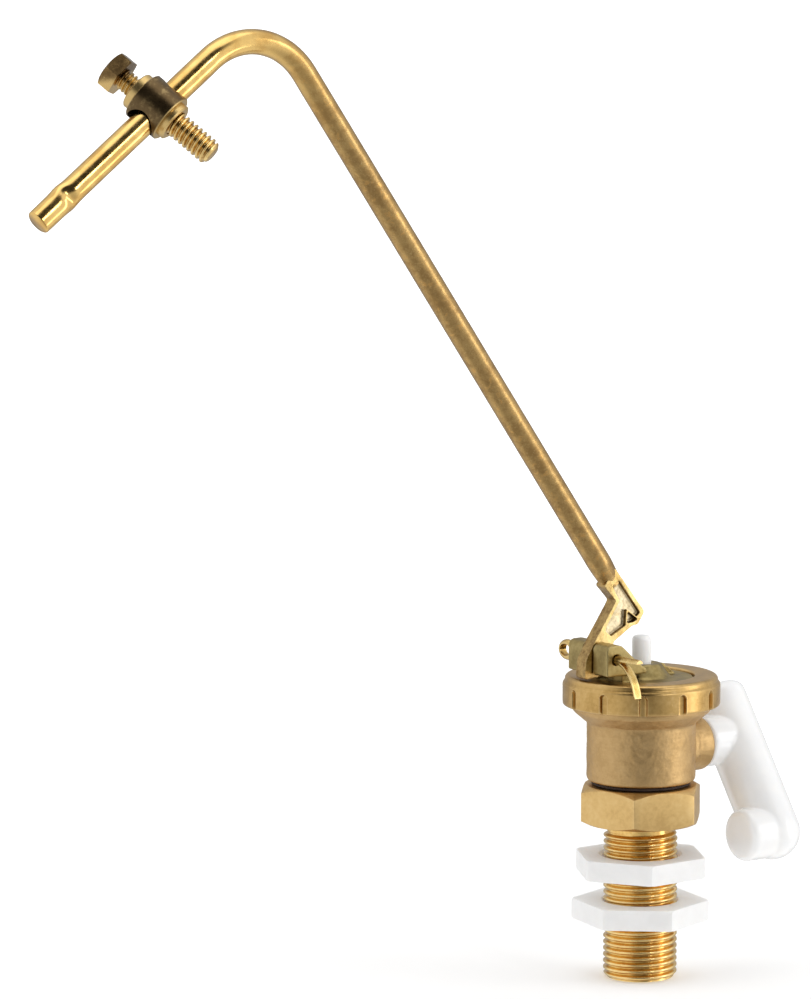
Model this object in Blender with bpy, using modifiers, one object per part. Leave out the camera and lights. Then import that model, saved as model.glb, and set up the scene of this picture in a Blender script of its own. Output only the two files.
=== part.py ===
"""Bottom-entry brass diaphragm float valve, G1/2 tail, with lever arm, float clamp and
plastic discharge elbow.

Frame: +Z runs up the tail axis, +X points at the outlet boss, -X at the lever, Y is the
lever's hinge axis. The origin lies on the tail axis in the plane of the hexagon's underside.
All driving dimensions below are in millimetres and are turned into metres by MM.
"""
import math

import bmesh
import bpy
from mathutils import Matrix, Vector

MM = 0.001
GAP = 0.3                      # running and seating clearance between separate pieces

# ---- tail piece: union hexagon, threaded shank and inner tube ----
HEX_AF = 32.0                  # across flats
HEX_TOP = 10.9
HEX_TURN = 47.6                # direction of one corner, degrees from +X
HEX_CHAMFER = 0.9
TAIL_R = 10.4775               # G1/2 major radius
TAIL_ROOT_R = 9.32
TAIL_END = -44.6
TAIL_BORE_R = 6.4
SPIGOT_R = 10.9                # the threaded part that screws into the body
SPIGOT_TOP = 16.6
TUBE_R = 9.3
TUBE_TOP = 29.6
NOZZLE_POCKET_R = 7.6
NOZZLE_POCKET_Z = 22.0

# ---- body ----
BODY_R = 15.4
BODY_BOTTOM = 12.1
BODY_CONE_Z = 29.0
BODY_RIM_R = 19.7
BODY_RIM_Z = 32.8
BODY_TOP = 36.2
BODY_CHAMBER_R = 12.9
BODY_FLOOR = 17.2
BOSS_Z = 20.6
BOSS_R = 7.7
BOSS_END = 21.0
BOSS_BORE_R = 5.5

# ---- diaphragm, top plate, cap ring ----
DIAPHRAGM_R = 18.9
DIAPHRAGM_Z = 36.5
DIAPHRAGM_T = 1.2
PLATE_Z = 38.0
PLATE_FLANGE_R = 19.4
PLATE_FLANGE_TOP = 40.2
PLATE_HUB_R = 14.6
PLATE_TOP = 41.7
GUIDE_TOP = 45.5
GUIDE_R_TOP = 5.6
GUIDE_R_BASE = 7.8
GUIDE_BORE_R = 3.0
RING_R = 22.25
RING_INNER_R = 20.1
RING_OPENING_R = 15.0
RING_BOTTOM = 33.7
RING_LIP_Z = 40.5
RING_TOP = 42.3
GROOVES = 12
GROOVE_W = 2.2
GROOVE_DEPTH = 0.85
GROOVE_TOP = 39.3
GROOVE_PHASE = 234.6           # direction of one groove, degrees from +X

# ---- plunger ----
PLUNGER_R = 2.7
PLUNGER_TOP = 53.4
PLUNGER_HEAD_R = 6.3
PLUNGER_HEAD_Z = 39.9
PLUNGER_HEAD_T = 1.4

# ---- lever hinge ----
PIVOT_X = -15.5
PIVOT_Z = 48.8
PIN_HOLE_R = 1.75
WIRE_R = 0.62                  # half of the split pin's doubled wire
LUG_HALF = 9.2
SLOT_HALF = 2.5
LUG_FRONT = -18.9
LUG_BOTTOM = 44.2
LEVER_T = 4.2

# ---- lever rod ----
ROD_R = 3.45
ROD_START = (-10.9, 69.4)      # X, Z of the rod's lower end on its centre line
ROD_RISE = 54.84               # degrees above horizontal, leaning to -X
ROD_CORNER = (-125.7, 232.35)  # where the two straight centre lines would cross
ROD_DROP = 37.7                # degrees below horizontal of the outer length
BEND_R = 20.6
OUTER_LENGTH = 66.8            # straight length beyond the bend

# ---- float clamp ----
CLAMP_AT = 20.3                # along the outer length, from the bend's end
CLAMP_TURN = 39.1              # stud's direction about the rod, from downwards to -Y
CLAMP_R = 6.7
CLAMP_LENGTH = 10.0
CLAMP_BORE_R = 4.3
CLAMP_SHIFT = 0.55            # collar's centre from the rod's axis, towards the screw
SHOULDER_R = 5.3
SHOULDER_IN = 7.3              # screw side
SHOULDER_OUT = 6.8             # stud side
STUD_R = 3.55
STUD_END = 19.8
SCREW_R = 2.95
SCREW_HEAD_AF = 10.0
SCREW_HEAD_FROM = 12.0
SCREW_HEAD_TO = 16.3

# ---- backnuts ----
NUT_CORNER_R = 19.5
NUT_T = 5.8
NUT_TOP_UPPER = -9.2
NUT_TOP_LOWER = -22.4
NUT_TURN_UPPER = 3.1
NUT_TURN_LOWER = 20.7
NUT_RECESS_R = 13.0
NUT_RECESS_DEPTH = 1.0
NUT_BORE_R = 10.8

# ---- discharge elbow ----
ELBOW_X = 33.4
ELBOW_LEAN = 35.8              # degrees from straight down, towards -Y
ELBOW_R = 8.0
ELBOW_UP = 15.6                # above the boss axis, along the tube
ELBOW_DOWN = 30.0
ELBOW_BORE_R = 6.3
STUB_R = 7.1
STUB_FACE = 21.4
SPIGOT_PLUG_R = 5.0
SPIGOT_PLUG_END = 12.6
FOOT_STUB_R = 7.4
FOOT_STUB_FACE = 21.6
PORT_R = 4.2


# ---------------------------------------------------------------- scene
for old in list(bpy.data.objects):
    bpy.data.objects.remove(old, do_unlink=True)

parts = bpy.data.collections.new("float_valve")
cutters = bpy.data.collections.new("cutters")
bpy.context.scene.collection.children.link(parts)
bpy.context.scene.collection.children.link(cutters)


def material(name, colour, roughness, metallic):
    m = bpy.data.materials.new(name)
    m.use_nodes = True
    bsdf = m.node_tree.nodes["Principled BSDF"]
    bsdf.inputs["Base Color"].default_value = (*colour, 1.0)
    bsdf.inputs["Roughness"].default_value = roughness
    bsdf.inputs["Metallic"].default_value = metallic
    m.diffuse_color = (*colour, 1.0)
    return m


def finish_part(obj, mat, smooth=True):
    parts.objects.link(obj)
    obj.data.materials.clear()
    obj.data.materials.append(mat)
    if smooth and obj.type == "MESH":
        obj.data.shade_smooth()
        obj.data.set_sharp_from_angle(angle=math.radians(35))
    return obj


def finish_cutter(obj):
    cutters.objects.link(obj)
    obj.hide_render = True
    obj.display_type = "WIRE"
    return obj


def boolean(obj, operation, other):
    mod = obj.modifiers.new(operation.lower(), "BOOLEAN")
    mod.operation = operation
    mod.solver = "EXACT"
    mod.object = other
    return mod


def lathe(name, profile, steps=36, closed=False):
    """Turn a profile of (radius, height) points, in mm, about the Z axis.

    The profile runs down the outer side. A closed profile comes back up the inner side."""
    me = bpy.data.meshes.new(name)
    bm = bmesh.new()
    vs = [bm.verts.new((r * MM, 0.0, z * MM)) for r, z in profile]
    for a, b in zip(vs, vs[1:]):
        bm.edges.new((a, b))
    if closed:
        bm.edges.new((vs[-1], vs[0]))
    bm.to_mesh(me)
    bm.free()
    obj = bpy.data.objects.new(name, me)
    mod = obj.modifiers.new("turn", "SCREW")
    mod.axis = "Z"
    mod.angle = math.tau
    mod.steps = steps
    mod.render_steps = steps
    mod.use_merge_vertices = True
    mod.merge_threshold = 0.00001
    mod.use_smooth_shade = True
    return obj


def prism(name, sides, radius, z0, z1, turn=0.0):
    """An upright prism with one corner at `turn` degrees from +X."""
    bm = bmesh.new()
    bmesh.ops.create_cone(bm, cap_ends=True, segments=sides, radius1=radius * MM,
                          radius2=radius * MM, depth=(z1 - z0) * MM)
    first = max(bm.verts, key=lambda v: v.co.x)
    lead = math.degrees(math.atan2(first.co.y, first.co.x))
    bmesh.ops.rotate(bm, verts=bm.verts, matrix=Matrix.Rotation(math.radians(turn - lead), 3, "Z"))
    bmesh.ops.translate(bm, verts=bm.verts, vec=(0, 0, (z0 + z1) / 2 * MM))
    me = bpy.data.meshes.new(name)
    bm.to_mesh(me)
    bm.free()
    return bpy.data.objects.new(name, me)


def box(name, lo, hi):
    bm = bmesh.new()
    bmesh.ops.create_cube(bm, size=1.0)
    bmesh.ops.scale(bm, verts=bm.verts, vec=[(h - l) * MM for l, h in zip(lo, hi)])
    bmesh.ops.translate(bm, verts=bm.verts, vec=[(h + l) / 2 * MM for l, h in zip(lo, hi)])
    me = bpy.data.meshes.new(name)
    bm.to_mesh(me)
    bm.free()
    return bpy.data.objects.new(name, me)


def point_along(obj, start, direction):
    """Place an object so that its own +Z runs along `direction` from `start` (mm)."""
    d = Vector(direction).normalized()
    obj.matrix_world = Matrix.Translation(Vector(start) * MM) @ d.to_track_quat("Z", "Y").to_matrix().to_4x4()
    return obj


def outline(name, points, half, plane_y=0.0):
    """A flat outline of (X, Z) points, in mm, thickened by `half` each way along Y."""
    cu = bpy.data.curves.new(name, "CURVE")
    cu.dimensions = "2D"
    cu.fill_mode = "BOTH"
    cu.extrude = half * MM
    sp = cu.splines.new("POLY")
    sp.points.add(len(points) - 1)
    for p, (x, z) in zip(sp.points, points):
        p.co = (x * MM, z * MM, 0.0, 1.0)
    sp.use_cyclic_u = True
    tmp = bpy.data.objects.new(name + "_outline", cu)
    bpy.context.scene.collection.objects.link(tmp)
    tmp.matrix_world = Matrix.Translation((0, plane_y * MM, 0)) @ Matrix.Rotation(math.radians(90), 4, "X")
    bpy.context.view_layer.update()
    me = bpy.data.meshes.new_from_object(tmp.evaluated_get(bpy.context.evaluated_depsgraph_get()))
    bm = bmesh.new()
    bm.from_mesh(me)
    bmesh.ops.remove_doubles(bm, verts=bm.verts, dist=1e-6)
    bmesh.ops.transform(bm, matrix=tmp.matrix_world, verts=bm.verts)
    bmesh.ops.recalc_face_normals(bm, faces=bm.faces)
    bm.to_mesh(me)
    bm.free()
    bpy.data.objects.remove(tmp, do_unlink=True)
    return bpy.data.objects.new(name, me)


def wire(name, points, radius, resolution=2):
    """A round bar along a list of points in mm, with filled ends."""
    cu = bpy.data.curves.new(name, "CURVE")
    cu.dimensions = "3D"
    cu.bevel_depth = radius * MM
    cu.bevel_resolution = resolution
    cu.use_fill_caps = True
    sp = cu.splines.new("POLY")
    sp.points.add(len(points) - 1)
    for p, q in zip(sp.points, points):
        p.co = (q[0] * MM, q[1] * MM, q[2] * MM, 1.0)
    return bpy.data.objects.new(name, cu)


def rounded_polygon(corners, steps=4):
    """Corners are (x, z, radius); each is replaced by an arc of that radius."""
    out = []
    n = len(corners)
    for i, (x, z, r) in enumerate(corners):
        p = Vector((x, z))
        if r <= 0:
            out.append((x, z))
            continue
        a = (Vector(corners[i - 1][:2]) - p).normalized()
        b = (Vector(corners[(i + 1) % n][:2]) - p).normalized()
        half = a.angle(b) / 2
        centre = p + (a + b).normalized() * (r / math.sin(half))
        t0 = p + a * (r / math.tan(half))
        t1 = p + b * (r / math.tan(half))
        s0, s1 = t0 - centre, t1 - centre
        sweep = s0.angle_signed(s1)
        for k in range(steps + 1):
            v = s0.copy()
            v.rotate(Matrix.Rotation(-sweep * k / steps, 2))
            out.append(tuple(centre + v))
    return out


# ---------------------------------------------------------------- materials
satin_brass = material("satin_brass", (0.66, 0.46, 0.17), 0.32, 1.0)
cast_brass = material("cast_brass", (0.56, 0.42, 0.22), 0.55, 1.0)
bright_brass = material("bright_brass", (0.78, 0.55, 0.18), 0.22, 1.0)
pale_brass = material("pale_brass", (0.60, 0.55, 0.36), 0.45, 1.0)
rod_brass = material("rod_brass", (0.68, 0.47, 0.16), 0.28, 1.0)
white_plastic = material("white_plastic", (0.90, 0.90, 0.89), 0.35, 0.0)
gloss_plastic = material("gloss_plastic", (0.93, 0.93, 0.92), 0.18, 0.0)
nozzle_plastic = material("nozzle_plastic", (0.85, 0.85, 0.82), 0.40, 0.0)
black_rubber = material("black_rubber", (0.03, 0.03, 0.03), 0.70, 0.0)
fibre = material("red_fibre", (0.38, 0.10, 0.07), 0.80, 0.0)


# ---------------------------------------------------------------- tail piece
hex_r = HEX_AF / 2 / math.cos(math.radians(30))
tail = prism("tail_piece", 6, hex_r, 0.0, HEX_TOP, HEX_TURN)
hex_dome = finish_cutter(lathe("tail_hex_dome", [
    (0, HEX_TOP + 0.5), (HEX_AF / 2 - 0.4, HEX_TOP + 0.5), (HEX_AF / 2 - 0.4, HEX_TOP),
    (hex_r + 0.4, HEX_TOP - HEX_CHAMFER - 1.0), (hex_r + 0.4, HEX_CHAMFER + 0.6),
    (HEX_AF / 2 - 0.1, 0.0), (HEX_AF / 2 - 0.1, -0.5), (0, -0.5)]))
boolean(tail, "INTERSECT", hex_dome)
shank = finish_cutter(lathe("tail_shank", [
    (0, TUBE_TOP), (TUBE_R - 0.4, TUBE_TOP), (TUBE_R, TUBE_TOP - 0.4), (TUBE_R, SPIGOT_TOP + 0.6),
    (SPIGOT_R, SPIGOT_TOP), (SPIGOT_R, HEX_TOP - 1.0), (TAIL_ROOT_R, HEX_TOP - 2.0),
    (TAIL_ROOT_R, -2.2), (TAIL_R, -3.4), (TAIL_R, TAIL_END + 1.3),
    (TAIL_ROOT_R - 0.2, TAIL_END), (0, TAIL_END)]))
boolean(tail, "UNION", shank)
tail_bore = finish_cutter(lathe("tail_bore", [
    (0, TUBE_TOP + 1), (NOZZLE_POCKET_R, TUBE_TOP + 1), (NOZZLE_POCKET_R, NOZZLE_POCKET_Z),
    (TAIL_BORE_R - 1.4, NOZZLE_POCKET_Z - 1.4), (TAIL_BORE_R, NOZZLE_POCKET_Z - 5.0),
    (TAIL_BORE_R, TAIL_END + 0.6), (TAIL_BORE_R + 0.7, TAIL_END - 1), (0, TAIL_END - 1)]))
boolean(tail, "DIFFERENCE", tail_bore)
finish_part(tail, satin_brass)

finish_part(lathe("body_washer", [
    (14.0, 11.8), (14.0, 11.2), (SPIGOT_R + GAP, 11.2), (SPIGOT_R + GAP, 11.8)], closed=True), fibre)

# ---------------------------------------------------------------- valve body
body = lathe("valve_body", [
    (BODY_RIM_R - 0.4, BODY_TOP), (BODY_RIM_R, BODY_TOP - 0.4), (BODY_RIM_R, BODY_RIM_Z),
    (BODY_RIM_R - 0.5, BODY_RIM_Z - 0.9), (BODY_R + 0.5, BODY_CONE_Z + 0.3), (BODY_R, BODY_CONE_Z - 0.5),
    (BODY_R, BODY_BOTTOM + 0.5), (BODY_R - 0.5, BODY_BOTTOM),
    (SPIGOT_R + GAP, BODY_BOTTOM), (SPIGOT_R + GAP, BODY_FLOOR), (BODY_CHAMBER_R, BODY_FLOOR),
    (BODY_CHAMBER_R, 33.4), (14.6, 34.4), (14.6, BODY_TOP)], steps=40, closed=True)
boss = finish_cutter(point_along(lathe("outlet_boss", [
    (0, BOSS_END - 9.5), (BOSS_R - 0.9, BOSS_END - 9.5), (BOSS_R - 0.25, BOSS_END - 9.8),
    (BOSS_R, BOSS_END - 10.5), (BOSS_R, 4.4), (0, 4.4)], steps=28), (9.5, 0, BOSS_Z), (1, 0, 0)))
boolean(body, "UNION", boss)
boss_bore = finish_cutter(point_along(lathe("outlet_bore", [
    (0, 14.0), (BOSS_BORE_R + 0.6, 14.0), (BOSS_BORE_R + 0.6, BOSS_END - 9.5), (BOSS_BORE_R, BOSS_END - 10.2),
    (BOSS_BORE_R, 2.4), (BOSS_BORE_R - 1.6, 1.6), (0, 1.6)], steps=24), (9.5, 0, BOSS_Z), (1, 0, 0)))
boolean(body, "DIFFERENCE", boss_bore)
finish_part(body, cast_brass)

# ---------------------------------------------------------------- nozzle and its seal
finish_part(lathe("nozzle_seat", [
    (3.2, 35.9), (3.5, 35.6), (3.9, 33.2), (8.4, 32.4), (8.8, 32.0), (8.8, 29.9), (7.2, 29.9),
    (7.2, 27.2), (5.5, 27.2), (5.5, 25.0), (7.2, 25.0), (7.2, 22.6), (6.9, 22.3),
    (4.4, 22.3), (2.5, 26.0), (2.5, 35.9)], steps=24, closed=True), nozzle_plastic)


def o_ring(name, major, minor, centre, axis, steps=24, sides=8):
    prof = [(major + minor * math.sin(math.tau * k / sides), minor * math.cos(math.tau * k / sides))
            for k in range(sides)]
    return point_along(lathe(name, prof, steps=steps, closed=True), centre, axis)


finish_part(o_ring("nozzle_o_ring", 6.55, 0.72, (0, 0, 26.1), (0, 0, 1)), black_rubber)

# ---------------------------------------------------------------- diaphragm
finish_part(lathe("diaphragm", [
    (0, DIAPHRAGM_Z + DIAPHRAGM_T), (DIAPHRAGM_R, DIAPHRAGM_Z + DIAPHRAGM_T), (DIAPHRAGM_R, DIAPHRAGM_Z),
    (13.2, DIAPHRAGM_Z), (11.6, DIAPHRAGM_Z + 0.35), (6.0, DIAPHRAGM_Z + 0.35), (5.4, DIAPHRAGM_Z - 0.1),
    (0, DIAPHRAGM_Z - 0.1)], steps=32), black_rubber)

# ---------------------------------------------------------------- top plate
plate = lathe("top_plate", [
    (0, GUIDE_TOP), (GUIDE_R_TOP - 0.4, GUIDE_TOP), (GUIDE_R_TOP, GUIDE_TOP - 0.4), (GUIDE_R_BASE, PLATE_TOP + 0.4),
    (GUIDE_R_BASE + 0.6, PLATE_TOP), (PLATE_HUB_R - 0.3, PLATE_TOP), (PLATE_HUB_R, PLATE_TOP - 0.3),
    (PLATE_HUB_R, PLATE_FLANGE_TOP), (PLATE_FLANGE_R, PLATE_FLANGE_TOP), (PLATE_FLANGE_R, PLATE_Z),
    (13.4, PLATE_Z), (11.8, PLATE_Z + 1.5), (PLUNGER_HEAD_R + 0.6, PLATE_Z + 1.5),
    (PLUNGER_HEAD_R + 0.6, PLATE_TOP), (0, PLATE_TOP)], steps=40)
pedestal = finish_cutter(prism("lug_pedestal", 40, PLATE_HUB_R - 0.1, PLATE_TOP - 0.9, LUG_BOTTOM + 0.8))
boolean(pedestal, "INTERSECT", finish_cutter(
    box("lug_pedestal_limit", (-13.6, -LUG_HALF + 1.6, 40), (-7.3, LUG_HALF - 1.6, 50))))
boolean(plate, "UNION", pedestal)
lug_profile = rounded_polygon([
    (LUG_FRONT, LUG_BOTTOM, 0.6), (LUG_FRONT, 52.9, 1.9), (-13.9, 52.9, 2.4), (-8.6, 48.1, 2.0),
    (-5.0, GUIDE_TOP - 0.1, 0.0), (-5.0, LUG_BOTTOM, 0.0)])
lugs = finish_cutter(outline("lug_block", lug_profile, LUG_HALF))
boolean(plate, "UNION", lugs)
boolean(plate, "DIFFERENCE", finish_cutter(
    box("lever_slot", (-24, -SLOT_HALF, PLATE_TOP - 0.3), (-7.3, SLOT_HALF, 56))))
boolean(plate, "DIFFERENCE", finish_cutter(
    point_along(prism("hinge_bore", 16, PIN_HOLE_R, -14, 14), (PIVOT_X, 0, PIVOT_Z), (0, 1, 0))))
boolean(plate, "DIFFERENCE", finish_cutter(prism("guide_bore", 24, GUIDE_BORE_R, PLATE_TOP - 1, GUIDE_TOP + 3)))
finish_part(plate, pale_brass)

# ---------------------------------------------------------------- cap ring
ring = lathe("cap_ring", [
    (RING_OPENING_R + 0.3, RING_TOP), (20.6, RING_TOP), (21.15, RING_TOP - 0.2), (21.5, RING_TOP - 0.65),
    (21.6, RING_TOP - 1.5), (RING_R - 0.2, GROOVE_TOP + 0.8), (RING_R, GROOVE_TOP + 0.4),
    (RING_R, RING_BOTTOM + 1.2), (RING_R - 0.5, RING_BOTTOM + 0.3), (RING_R - 1.0, RING_BOTTOM),
    (RING_INNER_R, RING_BOTTOM), (RING_INNER_R, RING_LIP_Z), (RING_OPENING_R, RING_LIP_Z),
    (RING_OPENING_R, RING_TOP - 0.3)], steps=60, closed=True)
groove_tools = []
for k in range(GROOVES):
    a = math.radians(GROOVE_PHASE + k * 360.0 / GROOVES)
    d = Vector((math.cos(a), math.sin(a), 0))
    tool = rounded_polygon([(-GROOVE_W / 2, RING_BOTTOM - 1, 0), (GROOVE_W / 2, RING_BOTTOM - 1, 0),
                            (GROOVE_W / 2, GROOVE_TOP, GROOVE_W * 0.49), (-GROOVE_W / 2, GROOVE_TOP, GROOVE_W * 0.49)], 3)
    o = outline("groove_%02d" % (k + 1), tool, 1.5)
    o.matrix_world = (Matrix.Rotation(a + math.pi / 2, 4, "Z")
                      @ Matrix.Translation((0, -(RING_R - GROOVE_DEPTH + 1.5) * MM, 0)))
    groove_tools.append(finish_cutter(o))
for o in groove_tools:
    boolean(ring, "DIFFERENCE", o)
finish_part(ring, satin_brass)

# ---------------------------------------------------------------- plunger
finish_part(lathe("plunger", [
    (0, PLUNGER_TOP), (PLUNGER_R - 0.9, PLUNGER_TOP), (PLUNGER_R - 0.25, PLUNGER_TOP - 0.3),
    (PLUNGER_R, PLUNGER_TOP - 1.0), (PLUNGER_R, PLUNGER_HEAD_Z + PLUNGER_HEAD_T),
    (PLUNGER_HEAD_R - 0.3, PLUNGER_HEAD_Z + PLUNGER_HEAD_T), (PLUNGER_HEAD_R, PLUNGER_HEAD_Z + PLUNGER_HEAD_T - 0.3),
    (PLUNGER_HEAD_R, PLUNGER_HEAD_Z + 0.3), (PLUNGER_HEAD_R - 0.3, PLUNGER_HEAD_Z), (0, PLUNGER_HEAD_Z)],
    steps=24), white_plastic)

# ---------------------------------------------------------------- split pin
up, down = PIVOT_Z + WIRE_R + 0.06, PIVOT_Z - WIRE_R - 0.06
eye_c, eye_y, eye_z = 13.9, 3.1, 2.35
pin_path = [(PIVOT_X, -19.9, up + 0.5), (PIVOT_X, -15.0, up + 0.25), (PIVOT_X, -9.6, up), (PIVOT_X, 9.6, up)]
for k in range(11):
    a = math.radians(128 - k * 25.6)
    pin_path.append((PIVOT_X, eye_c + eye_y * math.cos(a), PIVOT_Z + eye_z * math.sin(a)))
pin_path += [(PIVOT_X, 9.6, down), (PIVOT_X, -9.6, down), (PIVOT_X, -12.0, down - 0.35),
             (PIVOT_X, -14.2, down - 1.35), (PIVOT_X, -16.2, down - 3.1), (PIVOT_X, -17.9, down - 5.6),
             (PIVOT_X, -19.3, down - 9.6)]
finish_part(wire("split_pin", pin_path, WIRE_R, 2), bright_brass)

# ---------------------------------------------------------------- lever end
rise = math.radians(ROD_RISE)
along = Vector((-math.cos(rise), math.sin(rise)))       # up the rod, in X and Z
across = Vector((math.sin(rise), math.cos(rise)))       # to the rod's upper right side
start = Vector(ROD_START)
socket_l = start - across * (ROD_R + 0.35) - along * 0.35
socket_r = start + across * 2.5 - along * 0.35
lever_outline = rounded_polygon([
    (socket_l.x, socket_l.y, 0.0), (-10.5, 64.2, 0.8), (-17.6, 53.9, 3.0), (-21.0, 48.2, 3.0), (-21.6, 42.75, 1.0),
    (-14.6, 43.35, 0.9), (-12.4, 46.0, 1.4), (-11.4, 52.7, 1.6), (-4.9, 56.7, 1.2), (-2.9, 56.9, 1.4),
    (-0.5, 60.4, 1.3), (socket_r.x, socket_r.y, 0.0)], 3)
lever = outline("lever_end", lever_outline, LEVER_T / 2)
web = rounded_polygon([(-9.0, 64.6, 0.6), (-15.6, 54.9, 0.6), (-12.6, 53.9, 0.5), (-5.6, 58.3, 0.5),
                       (-4.0, 59.6, 0.5), (-8.6, 66.9, 0.5)], 2)
for side in (-1, 1):
    w = finish_cutter(outline("lever_web_%s" % ("a" if side < 0 else "b"), web, 0.9, side * (LEVER_T / 2 + 0.1)))
    boolean(lever, "DIFFERENCE", w)
boolean(lever, "DIFFERENCE", finish_cutter(
    point_along(prism("lever_bore", 16, PIN_HOLE_R, -4, 4), (PIVOT_X, 0, PIVOT_Z), (0, 1, 0))))
hinge = bpy.data.objects.new("lever_hinge", None)
hinge.location = (PIVOT_X * MM, 0, PIVOT_Z * MM)
parts.objects.link(hinge)
finish_part(lever, pale_brass)

# ---------------------------------------------------------------- lever rod
drop = math.radians(ROD_DROP)
corner = Vector(ROD_CORNER)
outer = Vector((-math.cos(drop), -math.sin(drop)))      # out along the outer length
bend = along.angle(outer)
tangent = BEND_R * math.tan(bend / 2)
bend_in = corner - along * tangent
bend_out = corner + outer * tangent
centre = bend_in + Vector((-along.y, along.x)) * BEND_R
rod_path = [start.copy()]
for k in range(1, 6):
    rod_path.append(start.lerp(bend_in, k / 6))
radius_vec = bend_in - centre
for k in range(13):
    a = bend * k / 12
    v = Vector((radius_vec.x * math.cos(a) - radius_vec.y * math.sin(a),
                radius_vec.x * math.sin(a) + radius_vec.y * math.cos(a)))
    rod_path.append(centre + v)
for k in range(1, 4):
    rod_path.append(bend_out + outer * OUTER_LENGTH * k / 3)
rod = finish_part(wire("lever_rod", [(p.x, 0.0, p.y) for p in rod_path], ROD_R, 5), rod_brass)

# ---------------------------------------------------------------- float clamp
q = Vector((outer.x, 0, outer.y))
n1 = Vector((-outer.y, 0, outer.x))
if n1.z > 0:
    n1 = -n1
turn = math.radians(CLAMP_TURN)
stud_dir = n1 * math.cos(turn) + Vector((0, -1, 0)) * math.sin(turn)
at = bend_out + outer * CLAMP_AT
clamp_at = Vector((at.x, 0, at.y)) - stud_dir * CLAMP_SHIFT

collar = lathe("float_clamp", [
    (0, SHOULDER_OUT), (SHOULDER_R - 0.3, SHOULDER_OUT), (SHOULDER_R, SHOULDER_OUT - 0.3), (SHOULDER_R, CLAMP_LENGTH / 2),
    (CLAMP_R - 0.5, CLAMP_LENGTH / 2), (CLAMP_R, CLAMP_LENGTH / 2 - 0.5), (CLAMP_R, -CLAMP_LENGTH / 2 + 0.5),
    (CLAMP_R - 0.5, -CLAMP_LENGTH / 2), (SHOULDER_R, -CLAMP_LENGTH / 2), (SHOULDER_R, -SHOULDER_IN + 0.3),
    (SHOULDER_R - 0.3, -SHOULDER_IN), (0, -SHOULDER_IN)], steps=28)
point_along(collar, clamp_at, stud_dir)
boolean(collar, "DIFFERENCE", finish_cutter(
    point_along(prism("clamp_rod_bore", 24, CLAMP_BORE_R, -10, 10), clamp_at, q)))
boolean(collar, "DIFFERENCE", finish_cutter(
    point_along(prism("clamp_screw_bore", 18, SCREW_R + GAP, 0.5, 12), clamp_at, -stud_dir)))
boolean(collar, "DIFFERENCE", finish_cutter(
    point_along(prism("clamp_stud_bore", 18, STUD_R + GAP, 0.5, 12), clamp_at, stud_dir)))
finish_part(collar, satin_brass)

finish_part(point_along(lathe("float_stud", [
    (0, STUD_END), (STUD_R - 0.8, STUD_END), (STUD_R, STUD_END - 0.8), (STUD_R, 4.9),
    (STUD_R - 0.5, 4.4), (0, 4.4)], steps=24), clamp_at, stud_dir), bright_brass)

screw = prism("clamp_screw", 6, SCREW_HEAD_AF / 2 / math.cos(math.radians(30)), SCREW_HEAD_FROM, SCREW_HEAD_TO, 12.0)
screw_shank = finish_cutter(lathe("clamp_screw_shank", [
    (0, SCREW_HEAD_FROM + 1.5), (SCREW_R, SCREW_HEAD_FROM + 1.5), (SCREW_R, 4.1),
    (SCREW_R - 0.7, ROD_R + GAP - CLAMP_SHIFT), (0, ROD_R + GAP - CLAMP_SHIFT)], steps=24))
boolean(screw, "INTERSECT", finish_cutter(lathe("clamp_screw_dome", [
    (0, SCREW_HEAD_TO + 1), (4.9, SCREW_HEAD_TO + 1), (4.9, SCREW_HEAD_TO), (6.4, SCREW_HEAD_TO - 1.0),
    (6.4, SCREW_HEAD_FROM - 1), (0, SCREW_HEAD_FROM - 1)], steps=24)))
boolean(screw, "UNION", screw_shank)
for o in (screw, screw_shank, bpy.data.objects["clamp_screw_dome"]):
    point_along(o, clamp_at, -stud_dir)
finish_part(screw, satin_brass)


# ---------------------------------------------------------------- backnuts
def backnut(name, top, turn_deg, recess_up):
    """A hexagon nut with a round recess in the face that looks away from the clamped wall."""
    nut = prism(name, 6, NUT_CORNER_R, top - NUT_T, top, turn_deg)
    half = NUT_T / 2
    inner = [(0, half + 1), (NUT_RECESS_R, half + 1), (NUT_RECESS_R, half - NUT_RECESS_DEPTH),
             (NUT_BORE_R + 0.7, half - NUT_RECESS_DEPTH), (NUT_BORE_R, half - NUT_RECESS_DEPTH - 0.7),
             (NUT_BORE_R, -half + 0.5), (NUT_BORE_R + 0.6, -half - 0.1), (NUT_BORE_R + 0.6, -half - 1),
             (0, -half - 1)]
    tool = point_along(lathe(name + "_bore", inner, steps=30), (0, 0, top - half), (0, 0, 1 if recess_up else -1))
    boolean(nut, "DIFFERENCE", finish_cutter(tool))
    return finish_part(nut, white_plastic, smooth=False)


backnut("backnut_upper", NUT_TOP_UPPER, NUT_TURN_UPPER, True)
backnut("backnut_lower", NUT_TOP_LOWER, NUT_TURN_LOWER, False)

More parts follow.
